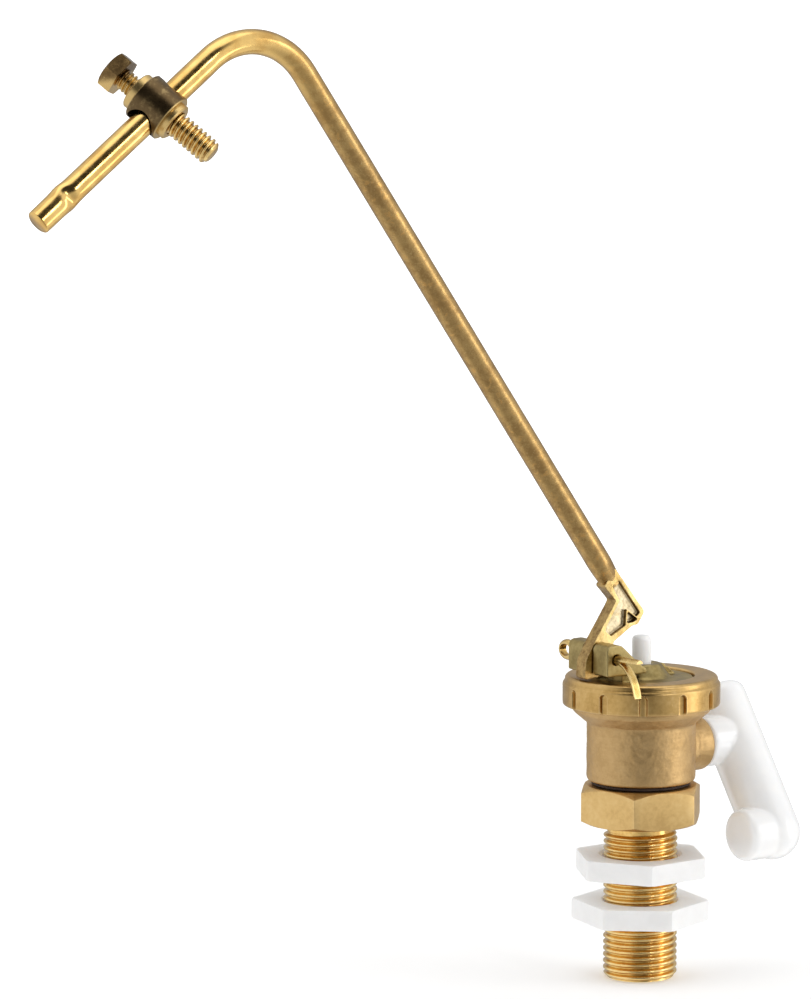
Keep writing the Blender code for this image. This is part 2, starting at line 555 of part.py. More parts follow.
# ---------------------------------------------------------------- discharge elbow
lean = math.radians(ELBOW_LEAN)
m = Vector((0, -math.sin(lean), -math.cos(lean)))
hub = Vector((ELBOW_X, 0, BOSS_Z))
foot = hub + m * ELBOW_DOWN
elbow = lathe("discharge_elbow", [
    (0, ELBOW_UP), (ELBOW_R - 2.2, ELBOW_UP), (ELBOW_R - 0.7, ELBOW_UP - 0.6), (ELBOW_R - 0.1, ELBOW_UP - 2.1)]
    + [(ELBOW_R * math.cos(math.radians(a)), -ELBOW_DOWN - ELBOW_R * math.sin(math.radians(a))) for a in range(0, 90, 15)]
    + [(0, -ELBOW_DOWN - ELBOW_R)], steps=28)
point_along(elbow, hub, -m)
boolean(elbow, "UNION", finish_cutter(point_along(lathe("elbow_foot_stub", [
    (0, ELBOW_X - FOOT_STUB_FACE), (FOOT_STUB_R - 1.6, ELBOW_X - FOOT_STUB_FACE),
    (FOOT_STUB_R - 0.5, ELBOW_X - FOOT_STUB_FACE - 0.5), (FOOT_STUB_R, ELBOW_X - FOOT_STUB_FACE - 1.6),
    (FOOT_STUB_R, 0.0), (0, 0.0)], steps=24), foot, (-1, 0, 0))))
boolean(elbow, "UNION", finish_cutter(point_along(lathe("elbow_inlet_stub", [
    (0, ELBOW_X - SPIGOT_PLUG_END), (SPIGOT_PLUG_R - 0.5, ELBOW_X - SPIGOT_PLUG_END),
    (SPIGOT_PLUG_R, ELBOW_X - SPIGOT_PLUG_END - 0.5), (SPIGOT_PLUG_R, ELBOW_X - 16.0),
    (SPIGOT_PLUG_R - 1.2, ELBOW_X - 16.0), (SPIGOT_PLUG_R - 1.2, ELBOW_X - 18.0),
    (SPIGOT_PLUG_R, ELBOW_X - 18.0), (SPIGOT_PLUG_R, ELBOW_X - STUB_FACE),
    (STUB_R - 0.3, ELBOW_X - STUB_FACE), (STUB_R, ELBOW_X - STUB_FACE - 0.4),
    (STUB_R, 0.0), (0, 0.0)], steps=24), hub, (-1, 0, 0))))
boolean(elbow, "DIFFERENCE", finish_cutter(point_along(lathe("elbow_bore", [
    (0, ELBOW_UP - 1.8), (ELBOW_BORE_R - 1, ELBOW_UP - 1.8), (ELBOW_BORE_R, ELBOW_UP - 2.8),
    (ELBOW_BORE_R, -ELBOW_DOWN - 0.5), (ELBOW_BORE_R - 2.4, -ELBOW_DOWN - 4.4),
    (0, -ELBOW_DOWN - 5.0)], steps=24), hub, -m)))
boolean(elbow, "DIFFERENCE", finish_cutter(point_along(
    prism("elbow_inlet_bore", 20, 2.9, 0.3, 26), hub, (-1, 0, 0))))
boolean(elbow, "DIFFERENCE", finish_cutter(point_along(
    prism("elbow_foot_bore", 20, 5.2, 0.3, ELBOW_X - FOOT_STUB_FACE - 1.8), foot, (-1, 0, 0))))
boolean(elbow, "DIFFERENCE", finish_cutter(point_along(
    prism("elbow_port", 20, PORT_R, 0.3, 12), foot, (1, 0, 0))))
finish_part(elbow, gloss_plastic)

finish_part(o_ring("elbow_o_ring", 4.6, 0.6, (17.0, 0, BOSS_Z), (1, 0, 0), steps=20), black_rubber)
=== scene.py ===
import math

import bmesh
import bpy
import numpy as np
from mathutils import Matrix, Vector, noise


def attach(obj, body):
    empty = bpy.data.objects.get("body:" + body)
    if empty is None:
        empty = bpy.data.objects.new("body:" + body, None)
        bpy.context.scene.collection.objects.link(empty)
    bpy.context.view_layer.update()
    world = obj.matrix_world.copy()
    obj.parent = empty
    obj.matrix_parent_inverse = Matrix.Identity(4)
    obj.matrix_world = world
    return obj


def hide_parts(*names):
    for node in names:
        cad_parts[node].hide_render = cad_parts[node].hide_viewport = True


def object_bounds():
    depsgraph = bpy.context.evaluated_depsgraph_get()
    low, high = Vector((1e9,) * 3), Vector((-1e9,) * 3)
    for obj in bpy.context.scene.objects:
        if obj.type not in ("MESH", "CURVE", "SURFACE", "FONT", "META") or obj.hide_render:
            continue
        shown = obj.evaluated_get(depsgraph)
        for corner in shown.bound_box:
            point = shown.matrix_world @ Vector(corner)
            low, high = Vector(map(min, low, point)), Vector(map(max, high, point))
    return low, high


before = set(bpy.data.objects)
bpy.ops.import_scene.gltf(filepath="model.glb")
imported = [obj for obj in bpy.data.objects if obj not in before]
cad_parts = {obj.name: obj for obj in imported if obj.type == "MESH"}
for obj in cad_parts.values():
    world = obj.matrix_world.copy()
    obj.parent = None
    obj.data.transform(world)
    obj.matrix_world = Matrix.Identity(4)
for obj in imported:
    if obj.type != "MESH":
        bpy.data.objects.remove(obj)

cad_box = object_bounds()
MM = 0.001
TAU = math.tau
scene = bpy.context.scene

# ============================================================ camera
cam_data = bpy.data.cameras.new("camera")
cam_data.sensor_fit = "VERTICAL"
cam_data.sensor_height = 36.0
cam_data.lens = 190.08
cam_data.clip_start = 0.05
cam_data.clip_end = 60.0
cam = bpy.data.objects.new("camera", cam_data)
scene.collection.objects.link(cam)
yaw, pitch = math.radians(55.72), math.radians(7.53)
look = Vector((math.cos(pitch) * math.cos(yaw), math.cos(pitch) * math.sin(yaw), -math.sin(pitch)))
cam.location = (-0.8835, -1.1779, 0.2862)
cam.rotation_euler = look.to_track_quat("-Z", "Y").to_euler()
scene.camera = cam
scene.view_settings.view_transform = "Standard"
scene.view_settings.look = "None"
scene.view_settings.exposure = 0.0
scene.view_settings.gamma = 1.0

RIGHT = Vector((0.8, -0.6, 0.0))       # picture right, level
AWAY = Vector((0.6, 0.8, 0.0))         # away from the camera, level
MIDDLE = Vector((-0.08, 0.0, 0.10))


# ============================================================ node helpers
class Mat:
    """A node material with small helpers for procedural patterns, in object space metres."""

    def __init__(self, name):
        self.m = bpy.data.materials.new(name)
        self.m.use_nodes = True
        self.t = self.m.node_tree
        self.t.nodes.clear()
        self.out = self.t.nodes.new("ShaderNodeOutputMaterial")
        self.b = self.t.nodes.new("ShaderNodeBsdfPrincipled")
        self.t.links.new(self.b.outputs[0], self.out.inputs[0])
        self.co = self.t.nodes.new("ShaderNodeTexCoord").outputs["Object"]

    def put(self, kind, **props):
        n = self.t.nodes.new(kind)
        for k, v in props.items():
            setattr(n, k, v)
        return n

    def feed(self, socket, value):
        if isinstance(value, bpy.types.NodeSocket):
            self.t.links.new(value, socket)
        else:
            socket.default_value = value

    def math(self, op, a, b=0.0, c=0.0, clamp=False):
        n = self.put("ShaderNodeMath", operation=op, use_clamp=clamp)
        self.feed(n.inputs[0], a)
        self.feed(n.inputs[1], b)
        self.feed(n.inputs[2], c)
        return n.outputs[0]

    def span(self, v, lo, hi, a=0.0, b=1.0, smooth=True):
        n = self.put("ShaderNodeMapRange", interpolation_type="SMOOTHSTEP" if smooth else "LINEAR")
        n.clamp = True
        self.feed(n.inputs["Value"], v)
        for k, x in (("From Min", lo), ("From Max", hi), ("To Min", a), ("To Max", b)):
            n.inputs[k].default_value = x
        return n.outputs[0]

    def xyz(self, vec=None):
        n = self.put("ShaderNodeSeparateXYZ")
        self.feed(n.inputs[0], vec if vec is not None else self.co)
        return n.outputs[0], n.outputs[1], n.outputs[2]

    def vec(self, x, y, z):
        n = self.put("ShaderNodeCombineXYZ")
        for s, v in zip(n.inputs, (x, y, z)):
            self.feed(s, v)
        return n.outputs[0]

    def warp(self, scale=(1, 1, 1), rotation=(0, 0, 0), vec=None, location=(0, 0, 0)):
        n = self.put("ShaderNodeMapping")
        self.feed(n.inputs["Vector"], vec if vec is not None else self.co)
        n.inputs["Scale"].default_value = scale
        n.inputs["Rotation"].default_value = rotation
        n.inputs["Location"].default_value = location
        return n.outputs[0]

    def noise(self, scale, detail=3.0, rough=0.55, vec=None, distortion=0.0):
        n = self.put("ShaderNodeTexNoise", noise_dimensions="3D")
        self.feed(n.inputs["Vector"], vec if vec is not None else self.co)
        n.inputs["Scale"].default_value = scale
        n.inputs["Detail"].default_value = detail
        n.inputs["Roughness"].default_value = rough
        n.inputs["Distortion"].default_value = distortion
        return n.outputs[0]

    def cells(self, scale, vec=None, feature="F1"):
        n = self.put("ShaderNodeTexVoronoi", feature=feature)
        self.feed(n.inputs["Vector"], vec if vec is not None else self.co)
        n.inputs["Scale"].default_value = scale
        return n.outputs["Distance"]

    def mix(self, fac, a, b, blend="MIX"):
        n = self.put("ShaderNodeMix", data_type="RGBA", blend_type=blend)
        n.clamp_factor = True
        self.feed(n.inputs[0], fac)
        for s, v in ((n.inputs[6], a), (n.inputs[7], b)):
            self.feed(s, v if isinstance(v, bpy.types.NodeSocket) else (*v, 1.0))
        return n.outputs[2]

    def bump(self, height, strength, distance, normal=None):
        n = self.put("ShaderNodeBump")
        n.inputs["Strength"].default_value = strength
        n.inputs["Distance"].default_value = distance
        self.feed(n.inputs["Height"], height)
        if normal is not None:
            self.feed(n.inputs["Normal"], normal)
        return n.outputs[0]

    def axis_radius(self):
        x, y, z = self.xyz()
        r = self.math("SQRT", self.math("ADD", self.math("MULTIPLY", x, x), self.math("MULTIPLY", y, y)))
        return r, z


def metal(name, base, dark, light, rough=(0.25, 0.4), patches=250.0, patch_amount=0.6, grain=2500.0,
          grain_depth=0.00002, grain_strength=0.35, turned=None, brushed=None, pits=0.0, edge=0.5, fleck=None,
          paint=None):
    """Brass in one of its finishes: mottled colour, tarnish in low places, grain and tool marks."""
    k = Mat(name)
    k.b.inputs["Metallic"].default_value = 1.0
    big = k.noise(patches, 3.0, 0.6)
    fine = k.noise(patches * 6.0, 3.0, 0.6)
    mottled = k.math("ADD", k.math("MULTIPLY", big, 0.65), k.math("MULTIPLY", fine, 0.35))
    col = k.mix(k.span(mottled, 0.36, 0.56), dark, base)
    col = k.mix(k.math("MULTIPLY", k.span(mottled, 0.52, 0.68), patch_amount), col, light)
    if fleck is not None:
        col = k.mix(k.math("MULTIPLY", k.span(k.noise(patches * 1.9, 2.0, 0.5, distortion=0.6), 0.60, 0.72), 0.7), col, fleck)
    if paint is not None:
        col = paint(k, col, mottled)
    point = k.put("ShaderNodeNewGeometry").outputs["Pointiness"]
    col = k.mix(k.math("MULTIPLY", k.span(point, 0.505, 0.56), edge), col, light)
    col = k.mix(k.math("MULTIPLY", k.span(point, 0.495, 0.44), 0.55), col, tuple(c * 0.45 for c in dark))
    k.feed(k.b.inputs["Base Color"], col)
    g = k.noise(grain, 4.0, 0.65)
    rv = k.math("ADD", k.math("MULTIPLY", mottled, 0.6), k.math("MULTIPLY", g, 0.4))
    nrm = k.bump(g, grain_strength, grain_depth)
    if turned is not None:
        r, z = k.axis_radius()
        lines = k.noise(1.0, 2.0, 0.7, k.vec(k.math("MULTIPLY", r, turned), k.math("MULTIPLY", z, turned), 0.0))
        rv = k.math("ADD", k.math("MULTIPLY", rv, 0.55), k.math("MULTIPLY", lines, 0.45))
        nrm = k.bump(lines, 0.35, 0.00002, nrm)
    if brushed is not None:
        scale, rot = brushed
        lines = k.noise(1.0, 3.0, 0.65, k.warp(scale, rot))
        rv = k.math("ADD", k.math("MULTIPLY", rv, 0.5), k.math("MULTIPLY", lines, 0.5))
        nrm = k.bump(lines, 0.35, 0.00003, nrm)
    if pits:
        holes = k.span(k.cells(650.0), 0.0, 0.16, 0.0, 1.0)
        sparse = k.span(k.noise(160.0, 2.0, 0.5), 0.56, 0.64)
        depth = k.math("SUBTRACT", 1.0, k.math("MULTIPLY", k.math("SUBTRACT", 1.0, holes), sparse))
        nrm = k.bump(depth, 0.6, pits, nrm)
    k.feed(k.b.inputs["Roughness"], k.span(rv, 0.3, 0.7, rough[0], rough[1]))
    k.feed(k.b.inputs["Normal"], nrm)
    return k.m


def plastic(name, base, shade, rough=(0.3, 0.45), sss=0.15, coat=0.0, waves=90.0, wave_depth=0.00006, grain=1800.0,
            grain_depth=0.000012, flow=None):
    """Milky moulded plastic: faint clouding, soft sink waves and light scuffs."""
    k = Mat(name)
    cloud = k.noise(waves * 2.0, 3.0, 0.6)
    col = k.mix(k.span(cloud, 0.35, 0.65), shade, base)
    scuff = k.noise(1.0, 3.0, 0.7, k.warp((2600, 700, 500), (0.3, 0.7, 0.2)))
    col = k.mix(k.math("MULTIPLY", k.span(scuff, 0.60, 0.74), 0.35), col, tuple(c * 0.9 for c in shade))
    k.feed(k.b.inputs["Base Color"], col)
    k.feed(k.b.inputs["Roughness"], k.span(k.math("ADD", k.math("MULTIPLY", scuff, 0.5), k.math("MULTIPLY", cloud, 0.5)),
                                          0.35, 0.65, rough[0], rough[1]))
    wave = k.noise(waves, 1.5, 0.4)
    nrm = k.bump(wave, 0.6, wave_depth)
    nrm = k.bump(k.noise(grain, 3.0, 0.6), 0.4, grain_depth, nrm)
    k.feed(k.b.inputs["Normal"], nrm)
    k.b.inputs["Subsurface Weight"].default_value = sss
    k.b.inputs["Subsurface Radius"].default_value = (0.004, 0.0036, 0.0032)
    k.b.inputs["Subsurface Scale"].default_value = 1.0
    k.b.inputs["Coat Weight"].default_value = coat
    k.b.inputs["Coat Roughness"].default_value = 0.12
    k.b.inputs["IOR"].default_value = 1.5
    return k.m


def soft(name, base, shade, rough=(0.6, 0.8), grain=1500.0, depth=0.00003):
    """Rubber or fibre: dull, with fine grain."""
    k = Mat(name)
    g = k.noise(grain, 4.0, 0.7)
    k.feed(k.b.inputs["Base Color"], k.mix(k.span(k.noise(grain * 0.3, 3.0), 0.35, 0.65), shade, base))
    k.feed(k.b.inputs["Roughness"], k.span(g, 0.3, 0.7, rough[0], rough[1]))
    k.feed(k.b.inputs["Normal"], k.bump(g, 0.6, depth))
    return k.m


# ============================================================ mesh helpers
def at_dir(at=(0, 0, 0), d=(0, 0, 1)):
    """Placement that turns local +Z to d and moves the origin to `at` (mm), scaling mm to metres."""
    q = Vector(d).normalized().to_track_quat("Z", "Y").to_matrix().to_4x4()
    return Matrix.Translation(Vector(at) * MM) @ q @ Matrix.Scale(MM, 4)


def raw(name, verts, faces, matrix=None):
    me = bpy.data.meshes.new(name)
    me.from_pydata([tuple(p) for p in verts], [], faces)
    bm = bmesh.new()
    bm.from_mesh(me)
    if matrix is not None:
        bmesh.ops.transform(bm, matrix=matrix, verts=bm.verts)
    bmesh.ops.recalc_face_normals(bm, faces=bm.faces)
    bm.to_mesh(me)
    bm.free()
    ob = bpy.data.objects.new(name, me)
    scene.collection.objects.link(ob)
    return ob


def turned(name, prof, steps=128, at=(0, 0, 0), d=(0, 0, 1), closed=False):
    """Surface of revolution of (radius, height) points in mm."""
    v, f, rows = [], [], []
    for r, z in prof:
        if abs(r) < 1e-9:
            rows.append([len(v)])
            v.append((0.0, 0.0, z))
        else:
            rows.append(list(range(len(v), len(v) + steps)))
            v += [(r * math.cos(TAU * k / steps), r * math.sin(TAU * k / steps), z) for k in range(steps)]
    pairs = list(zip(rows, rows[1:])) + ([(rows[-1], rows[0])] if closed else [])
    for a, b in pairs:
        for k in range(steps):
            j = (k + 1) % steps
            if len(a) == 1 and len(b) > 1:
                f.append((a[0], b[k], b[j]))
            elif len(b) == 1 and len(a) > 1:
                f.append((a[k], b[0], a[j]))
            elif len(a) > 1:
                f.append((a[k], b[k], b[j], a[j]))
    return raw(name, v, f, at_dir(at, d))


def rings(name, rows, matrix=None, wrap=False, cap=(True, True)):
    """Closed tube from equal rings of points; unwrapped ends are capped with a fan."""
    n = len(rows[0])
    v = [tuple(p) for r in rows for p in r]
    f = []
    m = len(rows)
    for i in range(m if wrap else m - 1):
        a, b = i * n, ((i + 1) % m) * n
        for k in range(n):
            j = (k + 1) % n
            f.append((a + k, b + k, b + j, a + j))
    if not wrap:
        for i, on in ((0, cap[0]), (m - 1, cap[1])):
            if on:
                c = len(v)
                v.append(tuple(np.mean(np.array(rows[i]), axis=0)))
                for k in range(n):
                    f.append((c, i * n + k, i * n + (k + 1) % n))
    return raw(name, v, f, matrix)


def prism(name, sides, radius, z0, z1, turn=0.0, at=(0, 0, 0), d=(0, 0, 1)):
    rows = []
    for z in (z0, z1):
        rows.append([(radius * math.cos(math.radians(turn) + TAU * k / sides),
                      radius * math.sin(math.radians(turn) + TAU * k / sides), z) for k in range(sides)])
    v = rows[0] + rows[1]
    f = [tuple(range(sides))[::-1], tuple(range(sides, 2 * sides))]
    f += [(k, (k + 1) % sides, sides + (k + 1) % sides, sides + k) for k in range(sides)]
    return raw(name, v, f, at_dir(at, d))


def slab(name, pts, y0, y1):
    """A polygon of (X, Z) points in mm between two Y planes."""
    n = len(pts)
    v = [(x, y0, z) for x, z in pts] + [(x, y1, z) for x, z in pts]
    f = [tuple(range(n)), tuple(range(2 * n - 1, n - 1, -1))]
    f += [(k, (k + 1) % n, n + (k + 1) % n, n + k) for k in range(n)]
    return raw(name, v, f, Matrix.Scale(MM, 4))


def block(name, lo, hi):
    return slab(name, [(lo[0], lo[2]), (hi[0], lo[2]), (hi[0], hi[2]), (lo[0], hi[2])], lo[1], hi[1])


def rounded(corners, steps=8):
    out = []
    n = len(corners)
    for i, (x, z, r) in enumerate(corners):
        p = Vector((x, z))
        if r <= 0:
            out.append((x, z))
            continue
        a = (Vector(corners[i - 1][:2]) - p).normalized()
        b = (Vector(corners[(i + 1) % n][:2]) - p).normalized()
        half = a.angle(b) / 2
        centre = p + (a + b).normalized() * (r / math.sin(half))
        s0 = p + a * (r / math.tan(half)) - centre
        s1 = p + b * (r / math.tan(half)) - centre
        sweep = s0.angle_signed(s1)
        for k in range(steps + 1):
            v = s0.copy()
            v.rotate(Matrix.Rotation(-sweep * k / steps, 2))
            out.append(tuple(centre + v))
    return out


def carve(base, *ops):
    for op, other in ops:
        mod = base.modifiers.new(op.lower(), "BOOLEAN")
        mod.operation = op
        mod.solver = "EXACT"
        mod.object = other
    bake(base)
    for _, other in ops:
        bpy.data.objects.remove(other, do_unlink=True)
    return base


def bake(ob):
    bpy.context.view_layer.update()
    dg = bpy.context.evaluated_depsgraph_get()
    me = bpy.data.meshes.new_from_object(ob.evaluated_get(dg))
    ob.modifiers.clear()
    ob.data = me
    return ob


def soften(ob, voxel, passes=3, factor=0.5):
    """Even skin with small fillets everywhere, as a casting or moulding has."""
    mod = ob.modifiers.new("skin", "REMESH")
    mod.mode = "VOXEL"
    mod.voxel_size = voxel * MM
    mod.adaptivity = 0.0
    if passes:
        sm = ob.modifiers.new("smooth", "SMOOTH")
        sm.iterations = passes
        sm.factor = factor
    return bake(ob)


def bevelled(ob, width, segments=3, angle=30.0):
    mod = ob.modifiers.new("bevel", "BEVEL")
    mod.width = width * MM
    mod.segments = segments
    mod.limit_method = "ANGLE"
    mod.angle_limit = math.radians(angle)
    mod.miter_outer = "MITER_ARC"
    return bake(ob)


def roughen(ob, layers, keep=None):
    """Move vertices along their normals by layered noise: (feature size mm, height mm)."""
    me = ob.data
    n = len(me.vertices)
    co = np.empty(n * 3)
    me.vertices.foreach_get("co", co)
    co = co.reshape(n, 3)
    nr = np.empty(n * 3)
    me.vertices.foreach_get("normal", nr)
    nr = nr.reshape(n, 3)
    w = np.ones(n) if keep is None else keep(co / MM, nr)
    move = np.zeros(n)
    for size, height in layers:
        k = 1.0 / (size * MM)
        for i in range(n):
            if w[i] > 0:
                move[i] += height * noise.noise(Vector(co[i]) * k)
    co = co + nr * (move * w * MM)[:, None]
    me.vertices.foreach_set("co", co.reshape(-1))
    me.update()
    return ob


def piece(ob, name, body, nodes, mat, sharp=40.0):
    ob.name = name
    ob.data.name = name
    ob.data.materials.clear()
    ob.data.materials.append(mat)
    for p in ob.data.polygons:
        p.material_index = 0
    ob.data.shade_smooth()
    if sharp is not None:
        ob.data.set_sharp_from_angle(angle=math.radians(sharp))
    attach(ob, body)
    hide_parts(*nodes)
    return ob


def join(name, *obs):
    v, f = [], []
    for o in obs:
        k = len(v)
        v += [tuple(o.matrix_world @ p.co) for p in o.data.vertices]
        f += [tuple(k + i for i in p.vertices) for p in o.data.polygons]
    for o in obs:
        bpy.data.objects.remove(o, do_unlink=True)
    me = bpy.data.meshes.new(name)
    me.from_pydata(v, [], f)
    me.update()
    ob = bpy.data.objects.new(name, me)
    scene.collection.objects.link(ob)
    return ob


def thread_rows(zs, steps, major, root, pitch, limit=None, grow=None, flat=0.18):
    """Rings of a right-hand thread with rounded crests and roots."""
    a = np.arange(steps) / steps
    rows = []
    for z in zs:
        u = z / pitch - a
        t = 1.0 - np.abs((u % 1.0) * 2.0 - 1.0)
        s = np.clip((t - flat) / (1.0 - 2.0 * flat), 0.0, 1.0)
        s = s * s * (3.0 - 2.0 * s)
        g = 1.0 if grow is None else grow(z)
        r = root + (major - root) * s * g
        if limit is not None:
            r = np.minimum(r, limit(z))
        rows.append(np.stack([r * np.cos(a * TAU), r * np.sin(a * TAU), np.full(steps, z)], axis=1))
    return rows


def ring_at(r, z, steps):
    a = np.arange(steps) / steps * TAU
    return np.stack([r * np.cos(a), r * np.sin(a), np.full(steps, z)], axis=1)


# ============================================================ materials
def along(k, at, d):
    """Distance in metres from a point, measured along a direction."""
    x, y, z = k.xyz()
    d = Vector(d).normalized()
    t = k.math("ADD", k.math("MULTIPLY", x, d.x), k.math("ADD", k.math("MULTIPLY", y, d.y), k.math("MULTIPLY", z, d.z)))
    return k.math("SUBTRACT", t, Vector(at).dot(d) / 1000.0)


def lever_tones_and_painted_shade(k, col, mottled):
    """Pale web floor and golden flange edges, with painted shade: faces that do not face ±Y are coloured browner."""
    nrm = k.put("ShaderNodeNewGeometry").outputs["Normal"]
    sep = k.put("ShaderNodeSeparateXYZ")
    k.m.node_tree.links.new(nrm, sep.inputs[0])
    flat = k.span(k.math("ABSOLUTE", sep.outputs["Y"]), 0.45, 0.75)
    x, y, z = k.xyz()
    rim = k.span(k.math("ABSOLUTE", y), 0.0012, 0.0016)
    web = k.mix(k.span(mottled, 0.36, 0.62), (0.44, 0.345, 0.19), (0.68, 0.575, 0.38))
    edge = k.mix(k.span(mottled, 0.36, 0.62), (0.48, 0.32, 0.11), (0.74, 0.55, 0.24))
    # painted shade: the browner colour for faces turned away from ±Y
    side = k.mix(k.span(mottled, 0.40, 0.62), (0.23, 0.14, 0.05), (0.46, 0.31, 0.12))
    face = k.mix(rim, web, edge)
    return k.mix(flat, side, face)


CLAMP_POINT = Vector((-159.06, 0.35, 207.1))
CLAMP_LINE = Vector((0.474573, -0.630676, -0.614026))


def collar_painted_reflection(k, col, mottled):
    """Painted dark reflection: the wide band keeps the clamp's near-black base colour, the turned shoulders are brass
    coloured.
    """
    t = k.math("ABSOLUTE", along(k, CLAMP_POINT, CLAMP_LINE))
    return k.mix(k.span(t, 0.0046, 0.0051), col, (0.62, 0.44, 0.18))


def head_painted_reflection(k, col, mottled):
    """Painted dark reflection: the upper facets of the head keep the screw's near-black base colour, the lower part is
    brass coloured.
    """
    x, y, z = k.xyz()
    up = k.span(along(k, CLAMP_POINT - CLAMP_LINE * 14.0, (-0.2, 0.0, 1.0)), -0.0018, 0.0004)
    return k.mix(up, (0.62, 0.43, 0.17), col)


m_tail = metal("tail_brass", (0.90, 0.60, 0.21), (0.72, 0.43, 0.13), (0.96, 0.76, 0.38), rough=(0.14, 0.28),
               patches=170, grain=3000, turned=9000, edge=0.75)
m_hex = metal("hexagon_brass", (0.72, 0.48, 0.19), (0.60, 0.38, 0.14), (0.84, 0.62, 0.30), rough=(0.30, 0.44),
              patches=150, patch_amount=0.4, grain=2600, grain_strength=0.4, pits=0.00004, brushed=((500, 500, 2600), (0.2, 0.1, 0.3)))
m_cast = metal("cast_brass", (0.59, 0.395, 0.18), (0.52, 0.34, 0.148), (0.67, 0.47, 0.23), rough=(0.42, 0.56),
               patches=300, patch_amount=0.35, grain=2600, grain_strength=0.7, grain_depth=0.00004, pits=0.00005, edge=0.3,
               brushed=((250, 250, 1500), (0, 0, 0)))
m_ring = metal("ring_brass", (0.58, 0.375, 0.135), (0.46, 0.285, 0.095), (0.74, 0.52, 0.24), rough=(0.26, 0.40),
               patches=160, patch_amount=0.45, grain=2600, turned=5200, pits=0.00006, edge=0.8)
m_plate = metal("plate_brass", (0.36, 0.275, 0.11), (0.25, 0.185, 0.07), (0.60, 0.49, 0.24), rough=(0.34, 0.50),
                patches=200, patch_amount=0.4, grain=2400, grain_strength=0.4, grain_depth=0.00002, edge=0.5)
m_lever = metal("lever_brass", (0.46, 0.325, 0.13), (0.24, 0.15, 0.055), (0.84, 0.68, 0.38), rough=(0.24, 0.40),
                patches=230, patch_amount=0.5, grain=2400, grain_strength=0.4, grain_depth=0.00002, edge=0.2,
                paint=lever_tones_and_painted_shade)
# painted dark reflection: the clamp's base colours are near black
m_clamp = metal("clamp_brass", (0.135, 0.090, 0.042), (0.10, 0.064, 0.03), (0.66, 0.48, 0.22), rough=(0.26, 0.38),
                paint=collar_painted_reflection,
                patches=180, patch_amount=0.3, grain=3000, edge=0.0)
m_stud = metal("stud_brass", (0.66, 0.44, 0.16), (0.46, 0.28, 0.09), (0.90, 0.68, 0.30), rough=(0.12, 0.24),
               patches=300, grain=3000, edge=0.8)
# painted dark reflection: the screw's base colours are near black
m_screw = metal("screw_brass", (0.20, 0.125, 0.05), (0.13, 0.08, 0.032), (0.62, 0.45, 0.20), rough=(0.18, 0.32),
                patches=260, grain=3000, grain_strength=0.2, edge=0.0, paint=head_painted_reflection)
m_pin = metal("pin_brass", (0.62, 0.42, 0.14), (0.42, 0.26, 0.08), (0.78, 0.60, 0.28), rough=(0.18, 0.34),
              patches=300, grain=2600, brushed=((3500, 300, 3500), (0, 0, 0)), edge=0.6)
m_nut = plastic("nut_plastic", (0.80, 0.80, 0.795), (0.77, 0.77, 0.765), rough=(0.34, 0.5), sss=0.35)
m_plunger = plastic("plunger_plastic", (0.80, 0.80, 0.795), (0.77, 0.77, 0.765), rough=(0.38, 0.52), sss=0.35)
m_nozzle = plastic("nozzle_nylon", (0.86, 0.85, 0.80), (0.79, 0.78, 0.73), rough=(0.4, 0.55), sss=0.1)
m_elbow = plastic("elbow_plastic", (0.77, 0.77, 0.765), (0.74, 0.745, 0.75), rough=(0.14, 0.24), sss=0.5, coat=0.6,
                  waves=60.0, wave_depth=0.00022)
for m, painted_glow in ((m_nut, 0.135), (m_plunger, 0.16), (m_elbow, 0.165)):      # painted light: emission makes the milky plastic glow, lifting its shaded sides
    sh = next(n for n in m.node_tree.nodes if n.type == "BSDF_PRINCIPLED")
    sh.inputs["Emission Color"].default_value = (1.0, 0.995, 0.985, 1.0)
    sh.inputs["Emission Strength"].default_value = painted_glow
m_rubber = soft("seal_rubber", (0.035, 0.034, 0.033), (0.022, 0.021, 0.021))
# painted shade: the fibre washer is coloured near black, standing for the dark gap it sits in
m_washer_painted_shade = soft("washer_fibre_painted_shade", (0.055, 0.035, 0.028), (0.035, 0.022, 0.018), rough=(0.75, 0.9))


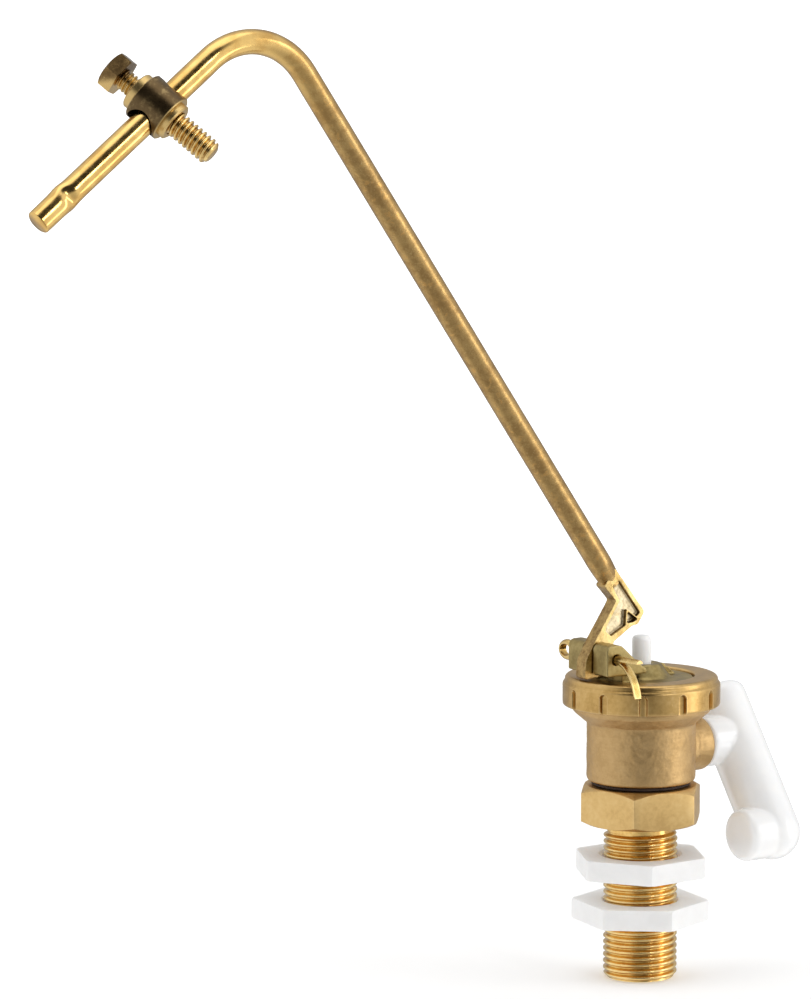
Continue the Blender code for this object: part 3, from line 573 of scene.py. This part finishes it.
def rod_material():
    k = Mat("rod_brass")
    k.b.inputs["Metallic"].default_value = 1.0
    x, y, z = k.xyz()
    shine = k.span(x, -0.098, -0.140, 0.0, 1.0)              # darker and rougher on the long rise, brighter gold and smoother at the outer end
    big = k.noise(170, 3.0, 0.6)
    mid = k.noise(520, 3.0, 0.65, distortion=0.4)
    fine = k.noise(2600, 3.0, 0.65)
    blotch = k.math("ADD", k.math("MULTIPLY", big, 0.4), k.math("ADD", k.math("MULTIPLY", mid, 0.4), k.math("MULTIPLY", fine, 0.2)))
    dull = k.mix(k.span(blotch, 0.40, 0.58), (0.33, 0.20, 0.072), (0.46, 0.30, 0.115))
    dull = k.mix(k.math("MULTIPLY", k.span(mid, 0.56, 0.68), 0.6), dull, (0.60, 0.33, 0.10))
    dull = k.mix(k.math("MULTIPLY", k.span(fine, 0.60, 0.70), 0.5), dull, (0.66, 0.50, 0.25))
    bright = k.mix(k.span(big, 0.35, 0.6), (0.66, 0.40, 0.12), (0.78, 0.52, 0.18))
    k.feed(k.b.inputs["Base Color"], k.mix(shine, dull, bright))
    r0 = k.span(blotch, 0.35, 0.65, 0.36, 0.24)
    r1 = k.span(mid, 0.35, 0.65, 0.13, 0.22)
    mixr = k.math("ADD", k.math("MULTIPLY", r0, k.math("SUBTRACT", 1.0, shine)), k.math("MULTIPLY", r1, shine))
    k.feed(k.b.inputs["Roughness"], mixr)
    draw = k.noise(1.0, 3.0, 0.6, k.warp((260, 2600, 2600), (0, math.radians(54.84), 0)))
    grain = k.math("MULTIPLY", fine, k.span(shine, 0.0, 1.0, 1.0, 0.15))
    nrm = k.bump(grain, 0.5, 0.00004)
    nrm = k.bump(k.math("MULTIPLY", draw, k.span(shine, 0.0, 1.0, 1.0, 0.3)), 0.35, 0.00004, nrm)
    nrm = k.bump(k.noise(110, 2.0, 0.5), 0.5, 0.00009, nrm)
    k.feed(k.b.inputs["Normal"], nrm)
    return k.m


m_rod = rod_material()

# ============================================================ tail piece
HEX_AF, HEX_TOP, HEX_TURN = 32.0, 10.9, 47.6
hex_r = HEX_AF / 2 / math.cos(math.radians(30))
hexagon = prism("hexagon", 6, hex_r, 0.0, HEX_TOP, HEX_TURN)
dome = turned("dome", [(0, HEX_TOP + 0.5), (HEX_AF / 2 - 0.4, HEX_TOP + 0.5), (HEX_AF / 2 - 0.4, HEX_TOP),
                       (hex_r + 0.4, HEX_TOP - 1.9), (hex_r + 0.4, 1.5), (HEX_AF / 2 - 0.1, 0.0),
                       (HEX_AF / 2 - 0.1, -0.5), (0, -0.5)], steps=180)
carve(hexagon, ("INTERSECT", dome))
spig = turned("spigot", [(0, 29.6), (8.9, 29.6), (9.3, 29.2), (9.3, 17.2), (10.9, 16.6), (10.9, 9.9), (0, 9.9)], steps=96)
hole = turned("hole", [(0, 30.6), (7.6, 30.6), (7.6, 22.0), (5.0, 20.6), (6.4, 17.0), (6.4, -1), (0, -1)], steps=96)
carve(hexagon, ("UNION", spig), ("DIFFERENCE", hole))
bevelled(hexagon, 0.22, 2, 22.0)
N = 128
zs = np.arange(-2.2, -44.6 - 1e-6, -1.8143 / 12)
shank_rows = [ring_at(9.5, 0.6, N), ring_at(9.5, -0.02, N), ring_at(9.36, -0.35, N), ring_at(9.32, -0.8, N)]
shank_rows += thread_rows(zs, N, 10.4775, 9.34, 1.8143, limit=lambda z: 9.25 + max(0.0, (z + 44.62)) * 0.95,
                          grow=lambda z: min(1.0, (-2.0 - z) / 1.4))
shank_rows += [ring_at(9.05, -44.6, N), ring_at(8.6, -44.6, N), ring_at(7.3, -44.6, N), ring_at(6.75, -44.45, N),
               ring_at(6.38, -44.0, N), ring_at(6.38, -30.0, N), ring_at(6.38, -12.0, N), ring_at(6.38, 0.6, N)]
shank = rings("shank", shank_rows, Matrix.Scale(MM, 4), wrap=True)
piece(hexagon, "union_hexagon", "valve", ["tail_piece"], m_hex, 30)
piece(shank, "threaded_tail", "valve", ["tail_piece"], m_tail, None)

# ============================================================ valve body
BOSS_Z, BOSS_END = 20.6, 21.0
body = turned("body", [
    (19.45, 36.2), (19.7, 35.95), (19.7, 32.8), (19.3, 32.0), (16.1, 29.3), (15.62, 28.95), (15.4, 28.6),
    (15.4, 22.0), (15.4, 13.0), (15.15, 12.35), (14.7, 12.1), (11.2, 12.1), (11.2, 17.2), (12.9, 17.2), (12.9, 33.4),
    (14.6, 34.4), (14.6, 36.2)], steps=160, closed=True)
boss = turned("boss", [(0, 11.5), (6.7, 11.5), (7.3, 11.25), (7.7, 10.5), (7.7, 6.2), (8.1, 4.9), (8.1, 2.9), (0, 2.9)],
              steps=96, at=(9.5, 0, BOSS_Z), d=(1, 0, 0))
bore = turned("bore", [(0, 14.0), (6.1, 14.0), (6.1, 11.5), (5.5, 10.8), (5.5, 2.4), (3.9, 1.6), (0, 1.6)],
              steps=72, at=(9.5, 0, BOSS_Z), d=(1, 0, 0))
carve(body, ("UNION", boss), ("DIFFERENCE", bore))
soften(body, 0.33, 3)


def cast_zone(co, nr):
    r = np.hypot(co[:, 0], co[:, 1])
    outer = np.clip((r - 14.8) / 0.4, 0, 1)
    low = np.clip((co[:, 2] - 12.8) / 0.6, 0, 1) * np.clip((32.6 - co[:, 2]) / 0.6, 0, 1)
    face = np.clip((20.7 - co[:, 0]) / 0.3, 0, 1)
    return outer * low * face


roughen(body, [(2.2, 0.10), (0.8, 0.05)], cast_zone)
piece(body, "cast_body", "valve", ["valve_body"], m_cast, 45)

# ============================================================ cap ring
RING_R = 22.25
cols = 1104
ang = np.arange(cols) / cols * TAU
phase = math.radians(234.6)
half_w, top_z = 1.1, 39.3
# distance from the nearest groove's centre line, in mm along the rim
loc = (ang - phase + TAU / 24) % (TAU / 12) - TAU / 24
dist = np.abs(loc) * RING_R
outer_prof = [(20.4, 33.70), (21.5, 33.70), (21.9, 33.78), (22.12, 33.95), (22.22, 34.2), (22.25, 34.5), (22.25, 34.9)]
outer_prof += [(22.25, z) for z in np.arange(35.2, 39.75, 0.16)]
outer_prof += [(22.2, 39.95), (22.05, 40.2), (21.85, 40.45), (21.68, 40.7), (21.62, 41.0), (21.6, 41.3), (21.52, 41.6),
               (21.36, 41.85), (21.12, 42.05), (20.8, 42.2), (20.45, 42.28), (20.0, 42.3), (19.0, 42.3), (17.6, 42.3),
               (16.2, 42.3), (15.5, 42.3), (15.2, 42.22), (15.05, 42.0), (15.0, 41.7), (15.0, 40.5), (17.5, 40.5),
               (20.1, 40.5), (20.1, 37.0), (20.1, 33.95), (20.2, 33.76)]
rows = []
for r, z in outer_prof:
    rr = np.full(cols, r)
    if r > 20.9 and z < 40.6:
        if z <= top_z - half_w:
            edge = half_w - dist
        else:
            edge = half_w - np.hypot(dist, z - (top_z - half_w))
        inside = np.clip(edge / 0.30 + 0.5, 0.0, 1.0)
        inside = inside * inside * (3 - 2 * inside)
        floor_r = RING_R - 1.25 + 0.20 * (dist / half_w) ** 2
        rr = np.where(rr > floor_r, rr + (floor_r - rr) * inside, rr)
        lip = np.exp(-((edge + 0.12) / 0.22) ** 2) * 0.05
        rr = rr + lip * (r > 22.1)
    rows.append(np.stack([rr * np.cos(ang), rr * np.sin(ang), np.full(cols, z)], axis=1))
ring = rings("ring", rows, Matrix.Scale(MM, 4), wrap=True)
piece(ring, "cap_ring_detail", "valve", ["cap_ring"], m_ring, 50)

# ============================================================ top plate
PIV = (-15.5, 48.8)
plate = turned("plate", [
    (0, 45.5), (5.2, 45.5), (5.6, 45.1), (7.6, 42.3), (8.4, 41.7), (14.3, 41.7), (14.6, 41.4), (14.6, 40.2),
    (19.4, 40.2), (19.4, 38.0), (13.4, 38.0), (11.8, 39.5), (6.9, 39.5), (6.9, 41.7), (0, 41.7)], steps=128)
ped = prism("ped", 96, 14.5, 40.8, 45.0)
carve(ped, ("INTERSECT", block("pl", (-13.6, -7.6, 40), (-7.3, 7.6, 50))))
lug_profile = rounded([(-18.9, 44.2, 0.6), (-18.9, 52.9, 1.9), (-13.9, 52.9, 2.4), (-8.6, 48.1, 2.0),
                       (-5.0, 45.4, 0.0), (-5.0, 44.2, 0.0)], 6)
lugs = slab("lugs", lug_profile, -9.2, 9.2)
rib = slab("rib", [(4.0, 42.1), (7.3, 42.1), (8.1, 41.2), (10.2, 41.2), (10.2, 41.9), (6.0, 45.2), (4.0, 45.2)], -2.2, 2.2)
slot = block("slot", (-24, -2.5, 41.4), (-7.3, 2.5, 56))
pin_hole = prism("pinhole", 48, 1.5, -14, 14, 0, (PIV[0], 0, PIV[1]), (0, 1, 0))
guide = prism("guide", 72, 3.0, 40.7, 48.5)
carve(plate, ("UNION", ped), ("UNION", lugs), ("UNION", rib), ("DIFFERENCE", slot), ("DIFFERENCE", pin_hole),
      ("DIFFERENCE", guide))
soften(plate, 0.22, 2)
roughen(plate, [(3.0, 0.05), (0.9, 0.02)], lambda co, nr: np.clip((co[:, 2] - 41.0) / 0.5, 0, 1))
piece(plate, "top_plate_detail", "valve", ["top_plate"], m_plate, 50)

# ============================================================ plunger
plunger = turned("plunger_part", [
    (0, 53.4), (1.2, 53.4), (1.75, 53.34), (2.2, 53.16), (2.52, 52.84), (2.67, 52.4), (2.7, 52.0), (2.7, 48.0), (2.7, 44.0),
    (2.7, 41.4), (3.0, 41.3), (6.0, 41.3), (6.25, 41.2), (6.3, 41.0), (6.3, 40.2), (6.2, 39.98), (6.0, 39.9), (0, 39.9)],
    steps=96)
piece(plunger, "plunger_detail", "plunger", ["plunger"], m_plunger, 40)

# ============================================================ split pin
half_r = 1.24
inner = [(-19.9, 0.30), (-15.0, 0.14), (-9.6, 0.06), (9.4, 0.06)]
for k in range(15):
    a = math.radians(136 - k * 272 / 14)
    inner.append((13.9 + 2.48 * math.cos(a), 1.73 * math.sin(a)))
inner += [(9.4, -0.06), (-9.6, -0.06), (-12.0, -0.42), (-14.2, -1.42), (-16.2, -3.2), (-17.9, -5.7), (-19.3, -9.5)]


def spline(points, step):
    """Even points on a Catmull-Rom curve through 2D points."""
    p = [np.array(q, float) for q in points]
    p = [2 * p[0] - p[1]] + p + [2 * p[-1] - p[-2]]
    out = []
    for i in range(1, len(p) - 2):
        n = max(2, int(np.linalg.norm(p[i + 1] - p[i]) / step))
        for k in range(n):
            t = k / n
            a, b, c, d = p[i - 1], p[i], p[i + 1], p[i + 2]
            out.append(0.5 * ((2 * b) + (-a + c) * t + (2 * a - 5 * b + 4 * c - d) * t * t + (-a + 3 * b - 3 * c + d) * t ** 3))
    out.append(p[-2])
    return out


line = spline(inner, 0.45)
rows = []
for i, p in enumerate(line):
    t = line[min(i + 1, len(line) - 1)] - line[max(i - 1, 0)]
    t = t / np.linalg.norm(t)
    nrm = np.array([-t[1], t[0]])                     # outward from the partner leg, in (Y, Z)
    end = min(i, len(line) - 1 - i)
    size = half_r * (0.86 if end == 0 else (0.96 if end == 1 else 1.0))
    sec = []
    for k in range(13):
        a = math.pi * k / 12
        sec.append((math.cos(a), math.sin(a)))
    sec = [(0.93 * c if s < 0.05 else c, max(s, 0.0)) for c, s in sec]
    for c in (-0.6, -0.2, 0.2, 0.6):
        sec.append((c, 0.0))
    rows.append([(PIV[0] + size * c, p[0] + nrm[0] * size * s, PIV[1] + p[1] + nrm[1] * size * s) for c, s in sec])
pin = rings("pin", rows, Matrix.Scale(MM, 4))
piece(pin, "split_pin_detail", "valve", ["split_pin"], m_pin, 50)

# ============================================================ lever end
rise = math.radians(54.84)
along = Vector((-math.cos(rise), math.sin(rise)))
across = Vector((math.sin(rise), math.cos(rise)))
start = Vector((-10.9, 69.4))
sl = start - across * 3.5 + along * 1.6
sr = start + across * 2.3 + along * 3.6
outline = rounded([
    (sl.x, sl.y, 0.6), (-10.6, 64.2, 0.7), (-17.6, 53.9, 3.0), (-21.0, 48.2, 3.0), (-21.6, 42.75, 1.0),
    (-14.6, 43.35, 0.9), (-12.4, 46.0, 1.4), (-11.4, 52.7, 1.6), (-4.9, 56.7, 1.2), (-2.9, 56.9, 1.4),
    (-0.5, 60.4, 1.4), (sr.x, sr.y, 0.6)], 6)
forge = slab("forge", outline, -2.1, 2.1)
web = rounded([(-11.9, 68.6, 0.5), (-9.3, 64.2, 0.5), (-13.6, 57.6, 0.4), (-14.2, 55.9, 0.3), (-12.2, 54.4, 0.3), (-7.3, 57.0, 0.4),
               (-7.0, 61.7, 0.4), (-3.4, 59.2, 0.35), (-2.2, 60.3, 0.5), (-9.6, 70.0, 0.5)], 4)
tri = rounded([(-6.5, 61.0, 0.3), (-6.7, 57.5, 0.3), (-4.4, 57.75, 0.3), (-3.0, 58.5, 0.3)], 4)
for y0, y1 in ((-2.6, -0.95), (0.95, 2.6)):
    carve(forge, ("DIFFERENCE", slab("w", web, y0, y1)))
for y0, y1 in ((-2.6, -0.35), (0.35, 2.6)):
    carve(forge, ("DIFFERENCE", slab("w", tri, y0, y1)))
carve(forge, ("DIFFERENCE", prism("b", 48, 1.75, -4, 4, 0, (PIV[0], 0, PIV[1]), (0, 1, 0))))
soften(forge, 0.13, 3)
roughen(forge, [(2.6, 0.07), (0.9, 0.02)])
piece(forge, "lever_forging", "lever", ["lever_end"], m_lever, 50)

# ============================================================ lever rod
ROD_R, BEND_R, OUTER = 3.45, 20.6, 66.8
drop = math.radians(37.7)
corner = Vector((-125.7, 232.35))
outv = Vector((-math.cos(drop), -math.sin(drop)))
bend = along.angle(outv)
tang = BEND_R * math.tan(bend / 2)
bend_in = corner - along * tang
bend_out = corner + outv * tang
centre = bend_in + Vector((-along.y, along.x)) * BEND_R
L1 = (bend_in - start).length
L2 = BEND_R * bend
total = L1 + L2 + OUTER


def on_rod(s):
    if s < L1:
        return start + along * s, along.copy()
    if s < L1 + L2:
        a = (s - L1) / BEND_R
        v = bend_in - centre
        v.rotate(Matrix.Rotation(a, 2))
        t = along.copy()
        t.rotate(Matrix.Rotation(a, 2))
        return centre + v, t
    return bend_out + outv * (s - L1 - L2), outv.copy()


test_p, _ = on_rod(L1 + L2 - 1e-6)
if (test_p - bend_out).length > 0.1:
    def on_rod(s):
        if s < L1:
            return start + along * s, along.copy()
        if s < L1 + L2:
            a = (s - L1) / BEND_R
            v = bend_in - centre
            v = Vector((v.x * math.cos(a) - v.y * math.sin(a), v.x * math.sin(a) + v.y * math.cos(a)))
            t = Vector((along.x * math.cos(a) - along.y * math.sin(a), along.x * math.sin(a) + along.y * math.cos(a)))
            return centre + v, t
        return bend_out + outv * (s - L1 - L2), outv.copy()

NS = 64
stations = list(np.arange(-1.0, 14.0, 0.5)) + list(np.arange(14.0, L1 - 1, 1.2)) + list(np.arange(L1 - 1, L1 + L2 + 1, 0.5))
stations += list(np.arange(L1 + L2 + 1, total - 16, 1.0)) + list(np.arange(total - 16, total - 0.45, 0.25))
stations += [total - 0.45, total - 0.25, total - 0.1, total]
rows = []
for s in stations:
    p, t = on_rod(max(s, 0.0))
    if s < 0:
        p = start + along * s
    nv = Vector((-t.y, t.x))                              # in-plane normal
    fade = min(1.0, max(0.0, (s + 1.0) / 9.0))
    fade = fade * fade * (3 - 2 * fade)
    ry = ROD_R * (0.56 + 0.44 * fade)                     # pressed oval where it enters the forging
    rn = ROD_R * (0.93 + 0.07 * fade)
    e = total - s
    if s > L1 - 2 and s < L1 + L2 + 2:
        ry *= 1.012
        rn *= 0.988
    ring_pts = []
    for k in range(NS):
        a = TAU * k / NS
        cy, cn = math.cos(a), math.sin(a)                 # cy along -Y side positive, cn along nv
        r_mul = 1.0
        if e < 18:
            # crimp: pressed in on the side that faces -Y and on the far side, spread in the lever's plane
            bell = math.exp(-((e - 10.4) / 1.5) ** 2)
            facing = max(0.0, abs(cy) - 0.15) / 0.85
            r_mul -= 0.20 * bell * facing ** 1.5
            spread = math.exp(-((e - 10.2) / 2.2) ** 2) * max(0.0, abs(cn)) ** 3
            r_mul += 0.10 * spread
            r_mul += 0.03 * math.exp(-((e - 4.0) / 5.0) ** 2) * abs(cn) ** 2
            r_mul -= 0.02 * max(0.0, 1 - e / 9.0)
        if e < 0.45:
            r_mul *= 1.0 - 0.12 * ((0.45 - e) / 0.45) ** 2
        r_mul += 0.006 * noise.noise(Vector((p.x * 0.35 + cy, cn * 1.3, p.y * 0.35)))
        ring_pts.append((p.x + nv.x * rn * cn * r_mul, -ry * cy * r_mul, p.y + nv.y * rn * cn * r_mul))
    rows.append(ring_pts)
rod = rings("rod", rows, Matrix.Scale(MM, 4))
piece(rod, "lever_rod_detail", "lever", ["lever_rod"], m_rod, 50)

# ============================================================ float clamp, stud, screw
q = Vector((outv.x, 0, outv.y))
n1 = Vector((-outv.y, 0, outv.x))
if n1.z > 0:
    n1 = -n1
turn = math.radians(39.1)
stud_dir = n1 * math.cos(turn) + Vector((0, -1, 0)) * math.sin(turn)
at = bend_out + outv * 20.3
clamp_at = Vector((at.x, 0, at.y)) - stud_dir * 0.55
collar = turned("collar", [
    (0, 6.8), (4.7, 6.8), (5.3, 6.4), (5.3, 5.0), (6.45, 5.0), (6.7, 4.75), (6.7, 0.0), (6.7, -4.75),
    (6.45, -5.0), (5.3, -5.0), (5.3, -6.95), (5.0, -7.3), (0, -7.3)], steps=128,
    at=clamp_at, d=stud_dir)
carve(collar, ("DIFFERENCE", prism("a", 96, 4.25, -10, 10, 0, clamp_at, q)),
      ("DIFFERENCE", prism("b", 64, 3.1, 0.5, 12, 0, clamp_at, -stud_dir)),
      ("DIFFERENCE", prism("c", 64, 3.6, 0.5, 12, 0, clamp_at, stud_dir)))
bevelled(collar, 0.12, 2, 30.0)
piece(collar, "clamp_collar", "clamp", ["float_clamp"], m_clamp, 35)

N = 72
zs = np.arange(4.6, 19.2, 1.5 / 12)
srows = [ring_at(2.7, 4.4, N)]
srows += thread_rows(zs, N, 3.55, 2.72, 1.5, limit=lambda z: 2.75 + min(max(0.0, z - 4.4) * 1.2, max(0.0, 19.45 - z) * 0.9), flat=0.14)
srows += [ring_at(2.66, 19.35, N), ring_at(2.35, 19.62, N), ring_at(1.7, 19.76, N), ring_at(0.9, 19.8, N)]
stud = rings("stud", srows, at_dir(clamp_at, stud_dir))
piece(stud, "stud_threaded", "clamp", ["float_stud"], m_stud, None)

head = prism("head", 6, 5.0 / math.cos(math.radians(30)), 12.0, 16.3, 12.0, clamp_at, -stud_dir)
carve(head, ("INTERSECT", turned("hd", [(0, 17), (4.8, 17), (4.8, 16.3), (6.4, 15.4), (6.4, 12.2), (5.3, 12.0), (5.3, 11.3),
                                       (0, 11.3)], steps=96, at=clamp_at, d=-stud_dir)))
bevelled(head, 0.14, 2, 20.0)
zs = np.arange(3.5, 12.7, 1.2 / 12)
srows = [ring_at(1.9, 3.22, N), ring_at(2.2, 3.3, N)]
srows += thread_rows(zs, N, 2.95, 2.32, 1.2, limit=lambda z: 2.3 + max(0.0, z - 3.3) * 0.9, flat=0.14)
shaft = rings("shaft", srows, at_dir(clamp_at, -stud_dir))
screw = join("screw", head, shaft)
piece(screw, "clamp_screw_detail", "clamp_screw", ["clamp_screw"], m_screw, 40)


# ============================================================ backnuts
def backnut(node, body_name, top, turn_deg, recess_up):
    T, half = 5.8, 2.9
    nut = prism("nut", 6, 19.5, top - T, top, turn_deg)
    trim = turned("trim", [(0, top + 0.4), (18.6, top + 0.4), (19.9, top - 0.9), (19.9, top - T + 0.9),
                           (18.6, top - T - 0.4), (0, top - T - 0.4)], steps=120)
    d = (0, 0, 1 if recess_up else -1)
    hole = turned("hole", [(0, half + 1), (11.9, half + 1), (11.9, half), (11.3, half - 0.3), (10.9, half - 0.7), (10.62, half - 1.3),
                           (10.62, -half + 0.4), (11.1, -half - 0.1), (11.1, -half - 1), (0, -half - 1)],
                  steps=96, at=(0, 0, top - half), d=d)
    carve(nut, ("INTERSECT", trim), ("DIFFERENCE", hole))
    bevelled(nut, 0.35, 3, 25.0)
    return piece(nut, node + "_detail", body_name, [node], m_nut, 30)


backnut("backnut_upper", "upper_nut", -9.2, 3.1, True)
backnut("backnut_lower", "lower_nut", -22.4, 20.7, False)

# ============================================================ discharge elbow
lean = math.radians(35.8)
m = Vector((0, -math.sin(lean), -math.cos(lean)))
hub = Vector((33.4, 0, BOSS_Z))
foot = hub + m * 30.0
R = 8.0
elbow = turned("elbow", [(0, 15.6), (5.2, 15.6), (6.4, 15.4), (7.2, 14.9), (7.75, 14.0), (7.98, 12.8), (8.0, 11.5)]
               + [(R * math.cos(math.radians(a)), -30.0 - R * math.sin(math.radians(a))) for a in range(0, 90, 6)]
               + [(0, -38.0)], steps=120, at=hub, d=-m)
foot_stub = turned("foot", [(0, 11.8), (5.6, 11.8), (6.5, 11.55), (7.1, 10.95), (7.4, 10.1), (7.4, 0.0), (0, 0.0)],
                   steps=96, at=foot, d=(-1, 0, 0))
inlet = turned("inlet", [(0, 20.8), (4.5, 20.8), (5.0, 20.3), (5.0, 17.4), (3.8, 17.4), (3.8, 15.4), (5.0, 15.4), (5.0, 12.0),
                         (6.8, 12.0), (7.1, 11.6), (7.1, 0.0), (0, 0.0)], steps=96, at=hub, d=(-1, 0, 0))
bore = turned("bore", [(0, 13.8), (5.3, 13.8), (6.3, 12.8), (6.3, -30.5), (3.9, -34.4), (0, -35.0)],
              steps=96, at=hub, d=-m)
carve(elbow, ("UNION", foot_stub), ("UNION", inlet), ("DIFFERENCE", bore),
      ("DIFFERENCE", prism("ib", 48, 2.9, 0.3, 26, 0, hub, (-1, 0, 0))),
      ("DIFFERENCE", prism("fb", 48, 5.2, 0.3, 10.0, 0, foot, (-1, 0, 0))),
      ("DIFFERENCE", prism("port", 48, 4.2, 0.3, 12.0, 0, foot, (1, 0, 0))))
soften(elbow, 0.32, 14)
piece(elbow, "elbow_moulding", "elbow", ["discharge_elbow"], m_elbow, 60)

# ============================================================ carried-over solids
for node, mat in (("body_washer", m_washer_painted_shade), ("nozzle_seat", m_nozzle), ("nozzle_o_ring", m_rubber), ("diaphragm", m_rubber),
                  ("elbow_o_ring", m_rubber)):
    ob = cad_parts[node]
    ob = ob if isinstance(ob, bpy.types.Object) else bpy.data.objects[node]
    if not ob.material_slots:
        ob.data.materials.append(mat)
    for s in ob.material_slots:
        s.link = "OBJECT"
        s.material = mat

# ============================================================ floor and light
k = Mat("floor_paper")
cloud = k.noise(6.0, 2.0, 0.5)
k.feed(k.b.inputs["Base Color"], k.mix(cloud, (0.90, 0.90, 0.90), (0.94, 0.94, 0.94)))
k.b.inputs["Roughness"].default_value = 0.9
k.b.inputs["Specular IOR Level"].default_value = 0.1
k.b.inputs["Emission Color"].default_value = (1.0, 1.0, 1.0, 1.0)
r, _ = k.axis_radius()
k.feed(k.b.inputs["Emission Strength"], k.span(r, 0.04, 1.2, 0.22, 0.75))
floor_z = cad_box[0][2] / MM - 0.1
floor = raw("floor", [(-15000, -15000, floor_z), (15000, -15000, floor_z), (15000, 15000, floor_z), (-15000, 15000, floor_z)],
            [(0, 1, 2, 3)], Matrix.Scale(MM, 4))
floor.data.materials.append(k.m)

floor.visible_glossy = False           # polished faces see the studio round the object, not the paper

world = bpy.data.worlds.new("studio")
scene.world = world
world.use_nodes = True
wt = world.node_tree
wt.nodes.clear()
wout = wt.nodes.new("ShaderNodeOutputWorld")
bg = wt.nodes.new("ShaderNodeBackground")
wt.links.new(bg.outputs[0], wout.inputs[0])
gen = wt.nodes.new("ShaderNodeTexCoord")


def facing(direction, lo, hi, a, b):
    dot = wt.nodes.new("ShaderNodeVectorMath")
    dot.operation = "DOT_PRODUCT"
    dot.inputs[1].default_value = Vector(direction).normalized()
    wt.links.new(gen.outputs["Generated"], dot.inputs[0])
    mr = wt.nodes.new("ShaderNodeMapRange")
    mr.interpolation_type = "SMOOTHSTEP"
    for key, val in (("From Min", lo), ("From Max", hi), ("To Min", a), ("To Max", b)):
        mr.inputs[key].default_value = val
    wt.links.new(dot.outputs["Value"], mr.inputs["Value"])
    return mr.outputs[0]


def times(a, b):
    n = wt.nodes.new("ShaderNodeMath")
    n.operation = "MULTIPLY"
    wt.links.new(a, n.inputs[0])
    wt.links.new(b, n.inputs[1])
    return n.outputs[0]


dark_side = times(facing((-0.42, -0.76, 0.50), 0.66, 0.88, 1.0, 0.04),
                  facing((-0.30, -0.70, -0.65), 0.55, 0.95, 1.0, 0.60))
right_side = facing((0.8, -0.6, 0.35), -0.6, 0.7, 0.98, 1.04)
bg.inputs["Color"].default_value = (1.0, 1.0, 1.0, 1.0)
behind = facing((0.6, 0.8, 0.0), 0.35, 0.85, 1.0, 0.5)
wt.links.new(times(times(dark_side, right_side), behind), bg.inputs["Strength"])


def softbox(name, centre, target, w, h, radiance, colour=(1, 1, 1)):
    d = bpy.data.lights.new(name, "AREA")
    d.shape = "RECTANGLE"
    d.size, d.size_y = w, h
    d.energy = radiance * math.pi * w * h
    d.color = colour
    o = bpy.data.objects.new(name, d)
    scene.collection.objects.link(o)
    o.location = centre
    o.rotation_euler = (Vector(target) - Vector(centre)).to_track_quat("-Z", "Y").to_euler()
    return o


UP = Vector((0, 0, 1))
softbox("key_right", MIDDLE + RIGHT * 1.25 - AWAY * 0.12 + UP * 0.10, MIDDLE, 0.35, 1.2, 2.3)
softbox("strip_front_right", MIDDLE + (RIGHT * 0.61 - AWAY * 0.68 + UP * 0.39) * 1.9, MIDDLE, 0.30, 0.55, 7.0)
softbox("top", MIDDLE - AWAY * 0.10 + UP * 1.3, MIDDLE, 1.2, 1.0, 0.75)
